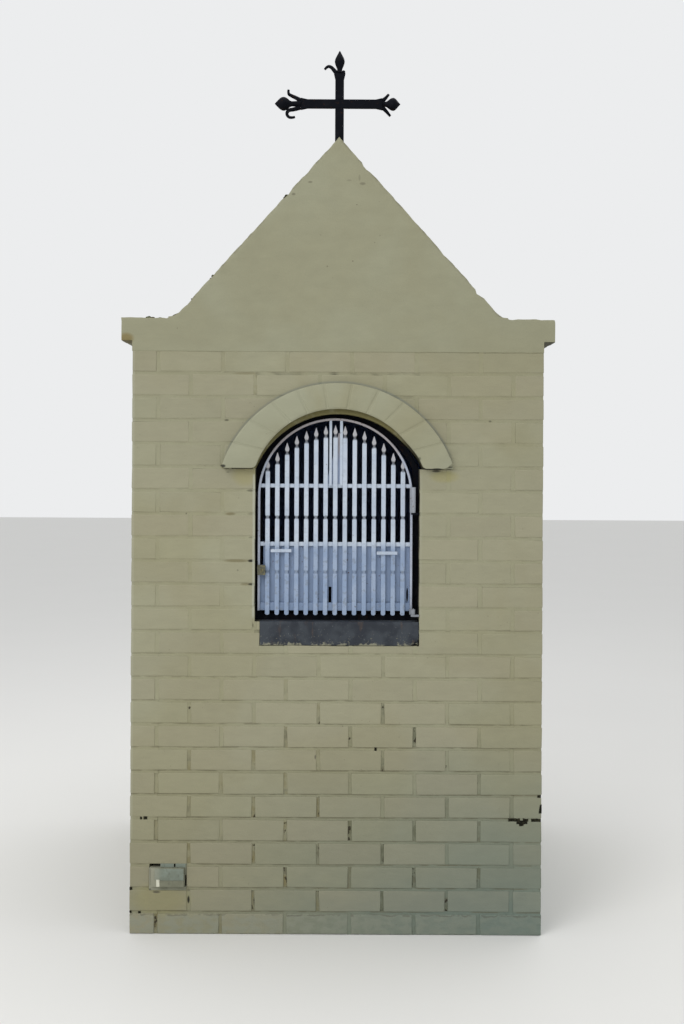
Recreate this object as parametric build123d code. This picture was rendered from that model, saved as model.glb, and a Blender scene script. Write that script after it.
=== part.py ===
from build123d import *
import os
from math import asin
from math import atan2
from math import cos
from math import hypot
from math import sin
from math import sqrt
from math import tan

# Wayside shrine of painted brick with a barred niche and a wrought iron cross.
# Millimetres. X runs to the right, Y to the back, Z up.
# The origin is the middle of the footprint at ground level.

# Masonry body
body_width = 1290.0
body_depth = 1190.0
wall = 90.0
wall_top = 1858.0
slab_height = 72.0
slab_overhang = 35.5

# Gables and roof
gable_half_width = 532.0
gable_height = 568.0
gable_wall = 90.0
flare_radius = 45.0
gable_lip = 3.0
verge_step = 12.0
roof_thickness = 80.0

# Niche opening in the front wall
opening_width = 515.0
sill_top = 979.5
springing = 1460.0
arch_rise = 171.0
sill_height = 75.0
sill_left_bearing = 15.5
joint_gap = 0.3

# Raised brick arch over the opening
hood_projection = 22.0
hood_inner_rise = 186.0
hood_outer_half_width = 363.0
hood_outer_rise = 266.0
hood_end_radius = 14.0

# Fixed iron surround behind the gate
surround_width = 20.0
surround_thickness = 8.0
surround_gap = 6.0

# Gate leaf
gate_recess = 23.0
gate_left_gap = 7.0
gate_right_gap = 20.5
gate_sill_gap = 31.5
gate_crown_gap = 13.0
frame_bar_width = 7.0
frame_bar_depth = 20.0
picket_count = 15
picket_pitch = 30.46
picket_width = 14.0
picket_thickness = 6.0
picket_setback = 2.0
picket_tip_gap = 14.0
end_picket_lift = 26.0
picket_foot = 14.0
spear_height = 34.0
spear_belly = 12.0
neck_width = 5.5
neck_rise = 6.0
pinch_width = 7.0
pinch_rise = 6.0
pinch_offsets = (-88.0, 84.0)
rail_thickness = 6.0
rail_upper_height = 12.0
rail_upper_rise = 394.0
rail_middle_height = 13.0
rail_middle_rise = 210.0
rail_bottom_height = 25.0
panel_thickness = 2.0
panel_notch_width = 10.5
panel_notch_height = 60.0
panel_slot_width = 9.0
panel_slot_height = 50.0
panel_slot_rise = 50.0
rust_hole_width = 6.0
rust_hole_height = 45.0
rust_hole_inset = 5.0
middle_bar_left_width = 8.0
middle_bar_left_offset = -15.2
middle_bar_right_width = 9.0
middle_bar_right_offset = 18.6
infill_top_width = 12.0
infill_bottom_width = 58.0
infill_height = 160.0
infill_thickness = 2.0
tab_length = 65.0
tab_height = 10.0
tab_thickness = 3.0
tab_left_drop = 21.0
tab_left_offset = -170.0
tab_right_drop = 27.0
tab_right_offset = 164.0
lock_width = 25.0
lock_height = 31.0
lock_depth = 12.0
lock_lap = 0.5
lock_radius = 3.0
keyhole_radius = 6.0
keyhole_depth = 3.0

# Lift-off hinges
hinge_axis_inset = 19.0
hinge_axis_forward = 18.0
hinge_pin_radius = 4.5
hinge_running_gap = 0.05
hinge_barrel_radius = 7.0
hinge_lug_height = 6.0
hinge_web_width = 9.0
hinge_upper_drop = 83.0
hinge_upper_height = 80.0
hinge_lower_drop = 8.0
hinge_lower_height = 16.0
hinge_pin_tail = 2.0

# Cover box low in the front wall
recess_inset = 62.0
recess_width = 116.0
recess_bottom = 141.0
recess_height = 78.0
cover_width = 104.0
cover_height = 60.0
cover_thickness = 8.0
cover_rise = 7.0
cover_edge_radius = 3.0
box_right_gap = 4.0
box_sink = 1.0
catch_width = 10.0
catch_height = 22.0
catch_thickness = 3.0
catch_inset = 18.0

# Iron cross
cross_bar_width = 28.0
cross_bar_depth = 12.0
cross_rise = 133.0
cross_left_reach = 125.0
cross_right_reach = 138.0
cross_top_reach = 100.0
cross_flare_length = 22.0
cross_flare_rise = 5.0
cross_socket_depth = 110.0
bud_sides = 8
bud_blank = 100.0
left_bud = ((0, 11), (10, 9), (28, 8), (34, 10), (44, 18), (55, 21.5), (64, 18.5), (74, 10), (83, 1))
right_bud = ((0, 11), (6, 8), (11, 8), (19, 13), (29, 19), (35, 20.4), (42, 16.5), (50, 8), (57, 1))
top_bud = ((0, 11), (7, 8), (12, 8), (22, 12.5), (31, 15.5), (38, 16.2), (47, 13.5), (57, 8), (71, 1))
tendril_steps = 8
tendril_root = 14.0
tendril_tip = 7.0
tendril_width = 9.0
left_tendrils = (
    ((-4, 8), (12, 20), (30, 29), (38, 44)),
    ((-4, -8), (20, -20), (39, -23), (43, -34), (33, -44), (18, -42)),
)
right_tendrils = (((-4, 7), (9, 19), (20, 32)), ((-4, -7), (12, -22), (25, -38)))
top_tendrils = (((-4, 7), (6, 20), (16, 32), (11, 47)), ((-4, -5), (0, -11), (4, -16)))

# Places that follow from the sizes above
half_width = body_width / 2
face = -body_depth / 2
back = body_depth / 2
inner_face = face + wall
inner_back = back - wall
inner_side = half_width - wall
opening_half = opening_width / 2
sill_bottom = sill_top - sill_height
roof_base = wall_top + slab_height
cross_middle = roof_base + gable_height + cross_rise
gate_bottom = sill_top + gate_sill_gap
picket_bottom = gate_bottom - picket_foot
rail_middle = gate_bottom + rail_middle_rise
rail_upper = gate_bottom + rail_upper_rise
hinge_upper_bottom = rail_upper - hinge_upper_drop
hinge_lower_bottom = gate_bottom - hinge_lower_drop
flare_drop = gable_height - gable_lip - flare_radius
flare_reach = hypot(gable_half_width, flare_drop)
pitch = atan2(flare_drop, gable_half_width) + asin(flare_radius / flare_reach)


def block(left, right, front, rear, bottom, top):
    """A box between two limits along each axis."""
    size = Box(right - left, rear - front, top - bottom)
    return Pos((left + right) / 2, (front + rear) / 2, (bottom + top) / 2) * size


def plate(outline, front, rear):
    """An upright outline, drawn in X and Z, given its thickness along Y."""
    return extrude(Plane.XZ.offset(-rear) * outline, amount=rear - front)


def arched_outline(half, bottom, spring, rise, middle=0.0):
    """A window outline with straight jambs under a round arch."""
    low_left = (middle - half, bottom)
    low_right = (middle + half, bottom)
    left = (middle - half, spring)
    right = (middle + half, spring)
    edges = [
        Line(low_left, low_right),
        Line(low_right, right),
        ThreePointArc(right, (middle, spring + rise), left),
        Line(left, low_left),
    ]
    return make_face(edges)


def gable_points(inset):
    """Foot, end of the flared foot and apex of one slope, set in by an amount."""
    foot = gable_half_width - inset / sin(pitch)
    apex = gable_height - inset / cos(pitch)
    flare_end_x = foot - flare_radius * sin(pitch)
    flare_end_z = gable_lip + flare_radius * (1 - cos(pitch))
    flare_mid_x = foot - flare_radius * sin(pitch / 2)
    flare_mid_z = gable_lip + flare_radius * (1 - cos(pitch / 2))
    return foot, (flare_mid_x, flare_mid_z), (flare_end_x, flare_end_z), apex


def slope_edges(inset, side):
    """The outside line of one slope, from its foot to the apex."""
    foot, mid, end, apex = gable_points(inset)
    lift = roof_base
    return [
        Line((side * foot, lift), (side * foot, lift + gable_lip)),
        ThreePointArc(
            (side * foot, lift + gable_lip),
            (side * mid[0], lift + mid[1]),
            (side * end[0], lift + end[1]),
        ),
        Line((side * end[0], lift + end[1]), (0, lift + apex)),
    ]


# Masonry
base_core = block(-inner_side, inner_side, inner_face, inner_back, 0, sill_bottom)
niche_floor = block(-inner_side, inner_side, inner_face, inner_back, sill_bottom, sill_top)
left_wall = block(-half_width, -inner_side, inner_face, inner_back, 0, wall_top)
right_wall = block(inner_side, half_width, inner_face, inner_back, 0, wall_top)
back_wall = block(-half_width, half_width, inner_back, back, 0, wall_top)

recess_left = -half_width + recess_inset
recess_right = recess_left + recess_width
recess_top = recess_bottom + recess_height
front_base_wall = block(-half_width, half_width, face, inner_face, 0, sill_bottom)
front_base_wall -= block(recess_left, recess_right, face, inner_face, recess_bottom, recess_top)

sill_left = -opening_half + sill_left_bearing
front_pier_left = block(-half_width, -opening_half, face, inner_face, sill_bottom, springing)
front_pier_left += block(-opening_half, sill_left, face, inner_face, sill_bottom, sill_top)
front_pier_right = block(opening_half, half_width, face, inner_face, sill_bottom, springing)
window_sill = block(sill_left, opening_half, face, inner_face, sill_bottom, sill_top)

hood_crown = (0, springing + hood_outer_rise)
hood_left = (-hood_outer_half_width, springing)
hood_right = (hood_outer_half_width, springing)
hood_blank = make_face([ThreePointArc(hood_right, hood_crown, hood_left), Line(hood_left, hood_right)])
hood_blank = fillet(hood_blank.vertices(), hood_end_radius)
opening = arched_outline(opening_half, sill_top, springing, arch_rise)
hood_inner = arched_outline(opening_half, sill_top, springing, hood_inner_rise)
hood_arch = plate(hood_blank - opening, face, inner_face)
hood_arch += plate(hood_blank - hood_inner, face - hood_projection, face)

spandrel = Pos(0, (springing + wall_top) / 2) * Rectangle(body_width, wall_top - springing)
spandrel -= offset(hood_blank, joint_gap, kind=Kind.INTERSECTION)
spandrel -= Pos(0, springing) * Rectangle(opening_width, 2 * hood_end_radius)
front_arch_wall = plate(spandrel, face, inner_face)

slab_half = half_width + slab_overhang
eaves_slab = block(-slab_half, slab_half, face, back, wall_top, roof_base)

gable_foot = gable_points(0)[0]
gable_base = Line((-gable_foot, roof_base), (gable_foot, roof_base))
gable_face = make_face(slope_edges(0, 1) + slope_edges(0, -1) + [gable_base])
front_gable = plate(gable_face, face, face + gable_wall)
back_gable = plate(gable_face, back - gable_wall, back)

roof_foot, roof_flare_mid, roof_flare_end, roof_apex = gable_points(verge_step)
slope_foot = roof_apex / tan(pitch)
under_foot = slope_foot - roof_thickness / sin(pitch)
under_apex = roof_apex - roof_thickness / cos(pitch)
ridge = roof_base + roof_apex


def roof_slope(side):
    """One roof slab, from the eaves slab to the ridge, between the gables."""
    edges = slope_edges(verge_step, side)
    edges.append(Line((0, ridge), (0, roof_base + under_apex)))
    edges.append(Line((0, roof_base + under_apex), (side * under_foot, roof_base)))
    edges.append(Line((side * under_foot, roof_base), (side * roof_foot, roof_base)))
    return plate(make_face(edges), face + gable_wall, back - gable_wall)


# The cross stands in a socket at the front end of the ridge
cross_front = face + gable_wall + joint_gap
cross_rear = cross_front + cross_bar_depth
cross_half = cross_bar_width / 2
socket_bottom = ridge - cross_socket_depth
socket = block(
    -cross_half - joint_gap,
    cross_half + joint_gap,
    face + gable_wall,
    cross_rear + joint_gap,
    socket_bottom,
    ridge + cross_bar_width,
)
roof_slope_left = roof_slope(-1) - socket
roof_slope_right = roof_slope(1) - socket



def bar_end(reach):
    """The corners of a bar's end, which widens where its finial is drawn out of it."""
    start = reach - cross_flare_length
    wide = cross_half + cross_flare_rise
    return [(start, -cross_half), (reach, -wide), (reach, wide), (start, cross_half)]


upright_foot = socket_bottom - cross_middle
upright_end = [(-across, along) for along, across in bar_end(cross_top_reach)]
upright_corners = upright_end + [(-cross_half, upright_foot), (cross_half, upright_foot)]
upright_outline = Pos(0, cross_middle) * make_face(Polyline(upright_corners, close=True))
cross_upright = plate(upright_outline, cross_front, cross_rear)
left_end = [(-along, -across) for along, across in bar_end(cross_left_reach)]
arm_corners = bar_end(cross_right_reach) + left_end
arm_outline = Pos(0, cross_middle) * make_face(Polyline(arm_corners, close=True))
cross_arm = plate(arm_outline, cross_front, cross_rear)
lap_line = (cross_front + cross_rear) / 2
cross_upright -= block(
    -cross_half,
    cross_half,
    cross_front,
    lap_line,
    cross_middle - cross_half,
    cross_middle + cross_half,
)
cross_arm -= block(
    -cross_half,
    cross_half,
    lap_line,
    cross_rear,
    cross_middle - cross_half,
    cross_middle + cross_half,
)


def tendril(points):
    """A flat forged tendril that thins out from inside the neck, points in X and Z."""
    path = Spline([Vector(x, 0, z) for x, z in points])
    upper = []
    lower = []
    for step in range(tendril_steps + 1):
        along = step / tendril_steps
        half = (tendril_root + along * (tendril_tip - tendril_root)) / 2
        spot = path @ along
        heading = path % along
        upper.append((spot.X - half * heading.Z, spot.Z + half * heading.X))
        lower.append((spot.X + half * heading.Z, spot.Z - half * heading.X))
    outline = make_face(Polyline(upper + lower[::-1], close=True))
    return plate(outline, -tendril_width / 2, tendril_width / 2)


def finial(bud, tendrils):
    """A pointed bud with flat sides on a neck, pointing along X, with its forged tendrils."""
    upper = list(bud)
    lower = [(x, -radius) for x, radius in reversed(bud)]
    profile = make_face(Polyline(upper + lower, close=True))
    slab = plate(profile, -bud_blank, bud_blank)
    shape = slab
    for turn in range(1, bud_sides // 2):
        shape &= Rot(turn * 360 / bud_sides, 0, 0) * slab
    for points in tendrils:
        shape += tendril(points)
    return shape & block(0, bud_blank, -bud_blank, bud_blank, -bud_blank, bud_blank)


cross_bar_y = (cross_front + cross_rear) / 2
left_shape = mirror(finial(left_bud, left_tendrils), about=Plane.YZ)
right_shape = finial(right_bud, right_tendrils)
top_shape = Rot(0, -90, 0) * finial(top_bud, top_tendrils)
cross_finial_left = Pos(-cross_left_reach, cross_bar_y, cross_middle) * left_shape
cross_finial_right = Pos(cross_right_reach, cross_bar_y, cross_middle) * right_shape
cross_finial_top = Pos(0, cross_bar_y, cross_middle + cross_top_reach) * top_shape

# Fixed iron surround and hinge pintles
gate_front = face + gate_recess
gate_rear = gate_front + frame_bar_depth
surround_front = gate_rear + surround_gap
surround_outer = offset(opening, -joint_gap, kind=Kind.INTERSECTION)
surround_inner = offset(surround_outer, -surround_width, kind=Kind.INTERSECTION)
surround_frame = plate(surround_outer - surround_inner, surround_front, surround_front + surround_thickness)

hinge_x = opening_half - hinge_axis_inset
hinge_y = gate_front - hinge_axis_forward


def pintle(bottom, height):
    """A lug on the right jamb with the hinge pin standing on it."""
    lug_bottom = bottom - joint_gap - hinge_lug_height
    lug_top = bottom - joint_gap
    radius = hinge_barrel_radius
    arm = block(hinge_x, opening_half, hinge_y - radius, hinge_y + radius, lug_bottom, lug_top)
    pad = Cylinder(radius, hinge_lug_height, align=(Align.CENTER, Align.CENTER, Align.MIN))
    pin_height = height + joint_gap + hinge_pin_tail
    pin = Cylinder(hinge_pin_radius, pin_height, align=(Align.CENTER, Align.CENTER, Align.MIN))
    return arm + Pos(hinge_x, hinge_y, lug_bottom) * pad + Pos(hinge_x, hinge_y, lug_top) * pin


hinge_pintle_upper = pintle(hinge_upper_bottom, hinge_upper_height)
hinge_pintle_lower = pintle(hinge_lower_bottom, hinge_lower_height)

# Gate leaf
gate_left = -opening_half + gate_left_gap
gate_right = opening_half - gate_right_gap
gate_middle = (gate_left + gate_right) / 2
gate_half = (gate_right - gate_left) / 2
gate_crown = springing + arch_rise - gate_crown_gap
gate_spring = gate_crown - gate_half
clear_half = gate_half - frame_bar_width
leaf_outer = arched_outline(gate_half, gate_bottom, gate_spring, gate_half, gate_middle)
leaf_clear = arched_outline(clear_half, gate_bottom, gate_spring, clear_half, gate_middle)
gate_frame = plate(leaf_outer - leaf_clear, gate_front, gate_rear)

picket_front = gate_front + picket_setback
picket_rear = picket_front + picket_thickness
rail_rear = picket_rear + rail_thickness
clear_left = gate_middle - clear_half
clear_right = gate_middle + clear_half


def rail(middle, height):
    """A flat rail behind the pickets, from stile to stile or to the arched bar."""
    strip = Pos(gate_middle, middle) * Rectangle(2 * gate_half, height)
    return plate(strip & leaf_clear, picket_rear, rail_rear)


gate_rail_upper = rail(rail_upper, rail_upper_height)
gate_rail_middle = rail(rail_middle, rail_middle_height)
gate_rail_bottom = rail(gate_bottom + rail_bottom_height / 2, rail_bottom_height)


def picket_outline(tip):
    """One picket, from its rounded foot over two pinches and a neck to its spear tip."""
    full = picket_width / 2
    neck = neck_width / 2
    pinch = pinch_width / 2
    neck_z = tip - spear_height
    side = [(0, picket_bottom), (full / 2, picket_bottom), (full, picket_bottom + full / 2)]
    for pinch_offset in pinch_offsets:
        height = rail_middle + pinch_offset
        side.append((full, height - pinch_rise))
        side.append((pinch, height))
        side.append((full, height + pinch_rise))
    side.append((full, neck_z - neck_rise))
    side.append((neck, neck_z))
    side.append((full, neck_z + spear_belly))
    side.append((0, tip))
    other = [(-x, z) for x, z in reversed(side[1:-1])]
    return make_face(Polyline(side + other, close=True))


# The two end pickets run on to the arched bar, which cuts their tips short
picket_places = [(i - (picket_count - 1) / 2) * picket_pitch for i in range(picket_count)]
picket_space = arched_outline(clear_half, picket_bottom, gate_spring, clear_half, gate_middle)
picket_plates = []
for place in picket_places:
    tip = gate_spring + sqrt(clear_half**2 - place**2) - picket_tip_gap
    if place in (picket_places[0], picket_places[-1]):
        tip += end_picket_lift
    outline = Pos(gate_middle + place, 0) * picket_outline(tip)
    picket_plates.append(plate(outline & picket_space, picket_front, picket_rear))
gate_pickets = Compound(picket_plates)

# Two plain bars beside the middle picket, up to the arched bar
middle_bar_places = (
    (middle_bar_left_offset, middle_bar_left_width),
    (middle_bar_right_offset, middle_bar_right_width),
)
middle_bars = []
for place, width in middle_bar_places:
    bar = Pos(gate_middle + place, (rail_upper + gate_crown) / 2)
    bar = bar * Rectangle(width, gate_crown - rail_upper)
    middle_bars.append(plate(bar & leaf_clear, picket_front, picket_rear))
gate_middle_bars = Compound(middle_bars)

# Thin infill plate that widens down to the upper rail
infill_bottom = rail_upper + rail_upper_height / 2
infill_right = gate_middle + infill_bottom_width / 2
infill_left = gate_middle - infill_bottom_width / 2
infill_x = gate_middle + picket_pitch / 2
infill_outline = make_face(
    Polyline(
        (infill_left, infill_bottom),
        (infill_right, infill_bottom),
        (infill_x + infill_top_width / 2, infill_bottom + infill_height),
        (infill_x - infill_top_width / 2, infill_bottom + infill_height),
        close=True,
    )
)
gate_infill_plate = plate(infill_outline & leaf_clear, picket_rear, picket_rear + infill_thickness)

panel_top = rail_middle + rail_middle_height / 2
panel_outline = Pos(gate_middle, (gate_bottom + panel_top) / 2)
panel_outline = panel_outline * Rectangle(2 * clear_half, panel_top - gate_bottom)
notch_top = rail_middle - rail_middle_height / 2
notch = Pos(clear_left + panel_notch_width / 2, notch_top - panel_notch_height / 2)
panel_outline -= notch * Rectangle(panel_notch_width, panel_notch_height)
panel_slot_middle = gate_bottom + panel_slot_rise
slot = Pos(gate_middle - picket_pitch / 2, panel_slot_middle)
panel_outline -= slot * Rectangle(panel_slot_width, panel_slot_height)
rust_hole = Pos(clear_right - rust_hole_inset - rust_hole_width / 2, panel_slot_middle)
panel_outline -= rust_hole * Ellipse(rust_hole_width / 2, rust_hole_height / 2)
gate_panel = plate(panel_outline, rail_rear, rail_rear + panel_thickness)

tab_places = ((tab_left_offset, tab_left_drop), (tab_right_offset, tab_right_drop))
tabs = []
for place, drop in tab_places:
    tab = Pos(gate_middle + place, rail_middle - drop) * Rectangle(tab_length, tab_height)
    tabs.append(plate(tab, picket_front - tab_thickness, picket_front))
gate_tabs = Compound(tabs)

lock_middle = notch_top - panel_notch_height - lock_height / 2 + lock_lap
lock_case = block(
    gate_left,
    gate_left + lock_width,
    gate_front - lock_depth,
    gate_front,
    lock_middle - lock_height / 2,
    lock_middle + lock_height / 2,
)
lock_case = fillet(lock_case.edges().filter_by(Axis.Y), lock_radius)
keyhole = Plane.XZ.offset(lock_depth - gate_front) * Pos(gate_left + lock_width / 2, lock_middle)
lock_cylinder = extrude(keyhole * Circle(keyhole_radius), amount=keyhole_depth)


def knuckle(bottom, height):
    """A hinge barrel with the web that joins it to the front of the stile."""
    barrel = Cylinder(hinge_barrel_radius, height, align=(Align.CENTER, Align.CENTER, Align.MIN))
    barrel = Pos(hinge_x, hinge_y, bottom) * barrel
    web = block(gate_right - hinge_web_width, hinge_x, hinge_y, gate_front, bottom, bottom + height)
    bore = Cylinder(
        hinge_pin_radius + hinge_running_gap,
        height,
        align=(Align.CENTER, Align.CENTER, Align.MIN),
    )
    return barrel + web - Pos(hinge_x, hinge_y, bottom) * bore


hinge_knuckle_upper = knuckle(hinge_upper_bottom, hinge_upper_height)
hinge_knuckle_lower = knuckle(hinge_lower_bottom, hinge_lower_height)

# Cover box low in the front wall, its back on the core of the base
cover_left = recess_left + (recess_width - cover_width) / 2
cover_bottom = recess_bottom + cover_rise
box_front = face + box_sink
box_body = block(
    recess_left + joint_gap,
    recess_right - box_right_gap,
    box_front,
    inner_face,
    recess_bottom + joint_gap,
    cover_bottom + cover_height,
)
box_cover = block(
    cover_left,
    cover_left + cover_width,
    face - cover_thickness,
    box_front,
    cover_bottom,
    cover_bottom + cover_height,
)
front_edges = box_cover.faces().sort_by(Axis.Y)[0].edges()
box_cover = fillet(front_edges, cover_edge_radius)
catch_left = cover_left + catch_inset
catch_bottom = cover_bottom + cover_edge_radius
box_catch = block(
    catch_left,
    catch_left + catch_width,
    face - cover_thickness - catch_thickness,
    face - cover_thickness,
    catch_bottom,
    catch_bottom + catch_height,
)

parts = {
    "base_core": base_core,
    "niche_floor": niche_floor,
    "left_wall": left_wall,
    "right_wall": right_wall,
    "back_wall": back_wall,
    "front_base_wall": front_base_wall,
    "front_pier_left": front_pier_left,
    "front_pier_right": front_pier_right,
    "front_arch_wall": front_arch_wall,
    "window_sill": window_sill,
    "hood_arch": hood_arch,
    "eaves_slab": eaves_slab,
    "front_gable": front_gable,
    "back_gable": back_gable,
    "roof_slope_left": roof_slope_left,
    "roof_slope_right": roof_slope_right,
    "cross_upright": cross_upright,
    "cross_arm": cross_arm,
    "cross_finial_left": cross_finial_left,
    "cross_finial_right": cross_finial_right,
    "cross_finial_top": cross_finial_top,
    "surround_frame": surround_frame,
    "hinge_pintle_upper": hinge_pintle_upper,
    "hinge_pintle_lower": hinge_pintle_lower,
    "gate_frame": gate_frame,
    "gate_rail_upper": gate_rail_upper,
    "gate_rail_middle": gate_rail_middle,
    "gate_rail_bottom": gate_rail_bottom,
    "gate_pickets": gate_pickets,
    "gate_middle_bars": gate_middle_bars,
    "gate_infill_plate": gate_infill_plate,
    "gate_panel": gate_panel,
    "gate_tabs": gate_tabs,
    "hinge_knuckle_upper": hinge_knuckle_upper,
    "hinge_knuckle_lower": hinge_knuckle_lower,
    "lock_case": lock_case,
    "lock_cylinder": lock_cylinder,
    "box_body": box_body,
    "box_cover": box_cover,
    "box_catch": box_catch,
}

os.makedirs("parts", exist_ok=True)
for name, shape in parts.items():
    export_step(shape, "parts/" + name + ".step")
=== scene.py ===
"""Looks of a wayside shrine: painted brick, a rendered gable, a barred niche and an iron cross.

Lengths are in metres. X runs to the right, Y to the back and Z up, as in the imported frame, and
the places of new pieces are worked out from its nodes.
"""

from __future__ import annotations

import logging
import math
import random
from collections.abc import Callable, Iterable, Sequence
from dataclasses import dataclass, field
from enum import Enum
from functools import cache
from typing import Any

import bmesh
import bpy
from bmesh.types import BMEdge, BMVert
from bpy.types import Material, Object
from mathutils import Matrix, Vector, noise

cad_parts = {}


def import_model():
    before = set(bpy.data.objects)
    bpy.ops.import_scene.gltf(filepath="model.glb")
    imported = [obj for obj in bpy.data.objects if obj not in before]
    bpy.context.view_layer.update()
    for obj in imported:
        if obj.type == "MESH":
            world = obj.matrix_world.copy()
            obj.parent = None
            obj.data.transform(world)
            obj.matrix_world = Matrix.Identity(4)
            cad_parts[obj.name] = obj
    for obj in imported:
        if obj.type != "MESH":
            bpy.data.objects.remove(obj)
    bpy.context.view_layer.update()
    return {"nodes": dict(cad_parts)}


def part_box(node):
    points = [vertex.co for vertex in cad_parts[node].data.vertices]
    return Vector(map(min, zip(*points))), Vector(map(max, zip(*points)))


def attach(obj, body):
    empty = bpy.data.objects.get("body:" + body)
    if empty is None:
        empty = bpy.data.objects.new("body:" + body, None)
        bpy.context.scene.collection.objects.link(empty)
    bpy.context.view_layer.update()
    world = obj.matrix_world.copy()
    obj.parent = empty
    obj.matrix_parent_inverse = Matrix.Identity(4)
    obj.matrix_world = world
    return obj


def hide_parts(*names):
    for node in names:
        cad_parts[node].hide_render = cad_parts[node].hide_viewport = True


LOG = logging.getLogger("shrine")
SHRINE = "shrine"
GATE = "gate"
SAME = 1e-5

Colour = tuple[float, float, float, float]
Point = tuple[float, float]
Span = tuple[float, float]


def srgb(red: int, green: int, blue: int) -> Colour:
    """Turn a display colour into the linear one that shaders take.

    Args:
        red: Red from 0 to 255.
        green: Green from 0 to 255.
        blue: Blue from 0 to 255.

    Returns:
        The linear colour with full alpha.
    """
    shares = [value / 255 for value in (red, green, blue)]
    linear = [s / 12.92 if s <= 0.04045 else ((s + 0.055) / 1.055) ** 2.4 for s in shares]
    return (linear[0], linear[1], linear[2], 1.0)


def circle_over(half: float, rise: float, base: float) -> tuple[float, float]:
    """Find the height of the middle of a round arch's circle, and its radius."""
    radius = (half**2 + rise**2) / (2 * rise)
    return base + rise - radius, radius


def arc_points(middle: Point, radius: float, start: float, end: float, steps: int) -> list[Point]:
    """Give points along an arc in X and Z, whose angles run in radians from X towards Z."""
    angles = [start + (end - start) * step / steps for step in range(steps + 1)]
    return [(middle[0] + radius * math.cos(a), middle[1] + radius * math.sin(a)) for a in angles]


def stand(name: str, data: bpy.types.ID) -> Object:
    """Make an object of a mesh, curve, camera or lamp and put it into the scene.

    Args:
        name: The object's name.
        data: What it shows.

    Returns:
        The object, at the origin.
    """
    made = bpy.data.objects.new(name, data)
    bpy.context.scene.collection.objects.link(made)
    return made


@dataclass(frozen=True)
class Mark:
    """A soft oval mark on an upright face: its middle, half its width and height, and strength."""

    x: float
    z: float
    wide: float
    high: float
    share: float


@dataclass(frozen=True)
class Patch:
    """An upright rectangle on the front."""

    left: float
    right: float
    bottom: float
    top: float


def operator(operation: str, turned: bool = False) -> Callable[[Channel, Any], Channel]:
    """Make an arithmetic operator of channels.

    Args:
        operation: The Math node's operation.
        turned: Whether the channel is the operation's second value.

    Returns:
        The operator.
    """

    def work(first: Channel, second: Channel | float) -> Channel:
        """Add a Math node that works on the two values."""
        values = (second, first) if turned else (first, second)
        return first.nodes.node("ShaderNodeMath", {"operation": operation}, dict(enumerate(values)))

    return work


class Channel:
    """A value of a shader node that takes part in Python arithmetic."""

    __add__ = operator("ADD")
    __radd__ = operator("ADD", True)
    __sub__ = operator("SUBTRACT")
    __rsub__ = operator("SUBTRACT", True)
    __mul__ = operator("MULTIPLY")
    __rmul__ = operator("MULTIPLY", True)
    __truediv__ = operator("DIVIDE")
    __pow__ = operator("POWER")

    def __init__(self, nodes: NodeTree, socket: bpy.types.NodeSocket | None) -> None:
        """Wrap an output socket of a node tree."""
        self.nodes = nodes
        self.socket = socket

    def __abs__(self) -> Channel:
        """Drop the sign."""
        return self.nodes.node("ShaderNodeMath", {"operation": "ABSOLUTE"}, {0: self})

    def ease(self, low: float, high: float) -> Channel:
        """Run smoothly from 0 at the first limit to 1 at the second, which may be the lower."""
        settings = {"interpolation_type": "SMOOTHSTEP"}
        return self.nodes.node("ShaderNodeMapRange", settings, {"Value": self, 1: low, 2: high})


class NodeTree:
    """The nodes of a material or of the world."""

    def __init__(self, owner: Material | bpy.types.World) -> None:
        """Empty the owner's tree.

        Args:
            owner: The material or world.
        """
        owner.use_nodes = True
        self.tree = owner.node_tree
        self.tree.nodes.clear()

    def node(
        self,
        kind: str,
        settings: dict[str, Any] | None = None,
        inputs: dict[int | str, Any] | None = None,
        output: int | str = 0,
    ) -> Channel:
        """Add a node.

        Args:
            kind: The node's type.
            settings: Its own properties, set first.
            inputs: A number, colour or channel for each socket, by index or name.
            output: Index or name of the socket that is wanted.

        Returns:
            The wanted output, or none of an output node.
        """
        made = self.tree.nodes.new(kind)
        for name, value in (settings or {}).items():
            setattr(made, name, value)
        for key, value in (inputs or {}).items():
            if isinstance(value, Channel):
                self.tree.links.new(value.socket, made.inputs[key])
            else:
                made.inputs[key].default_value = value
        return Channel(self, made.outputs[output] if made.outputs else None)


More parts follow.
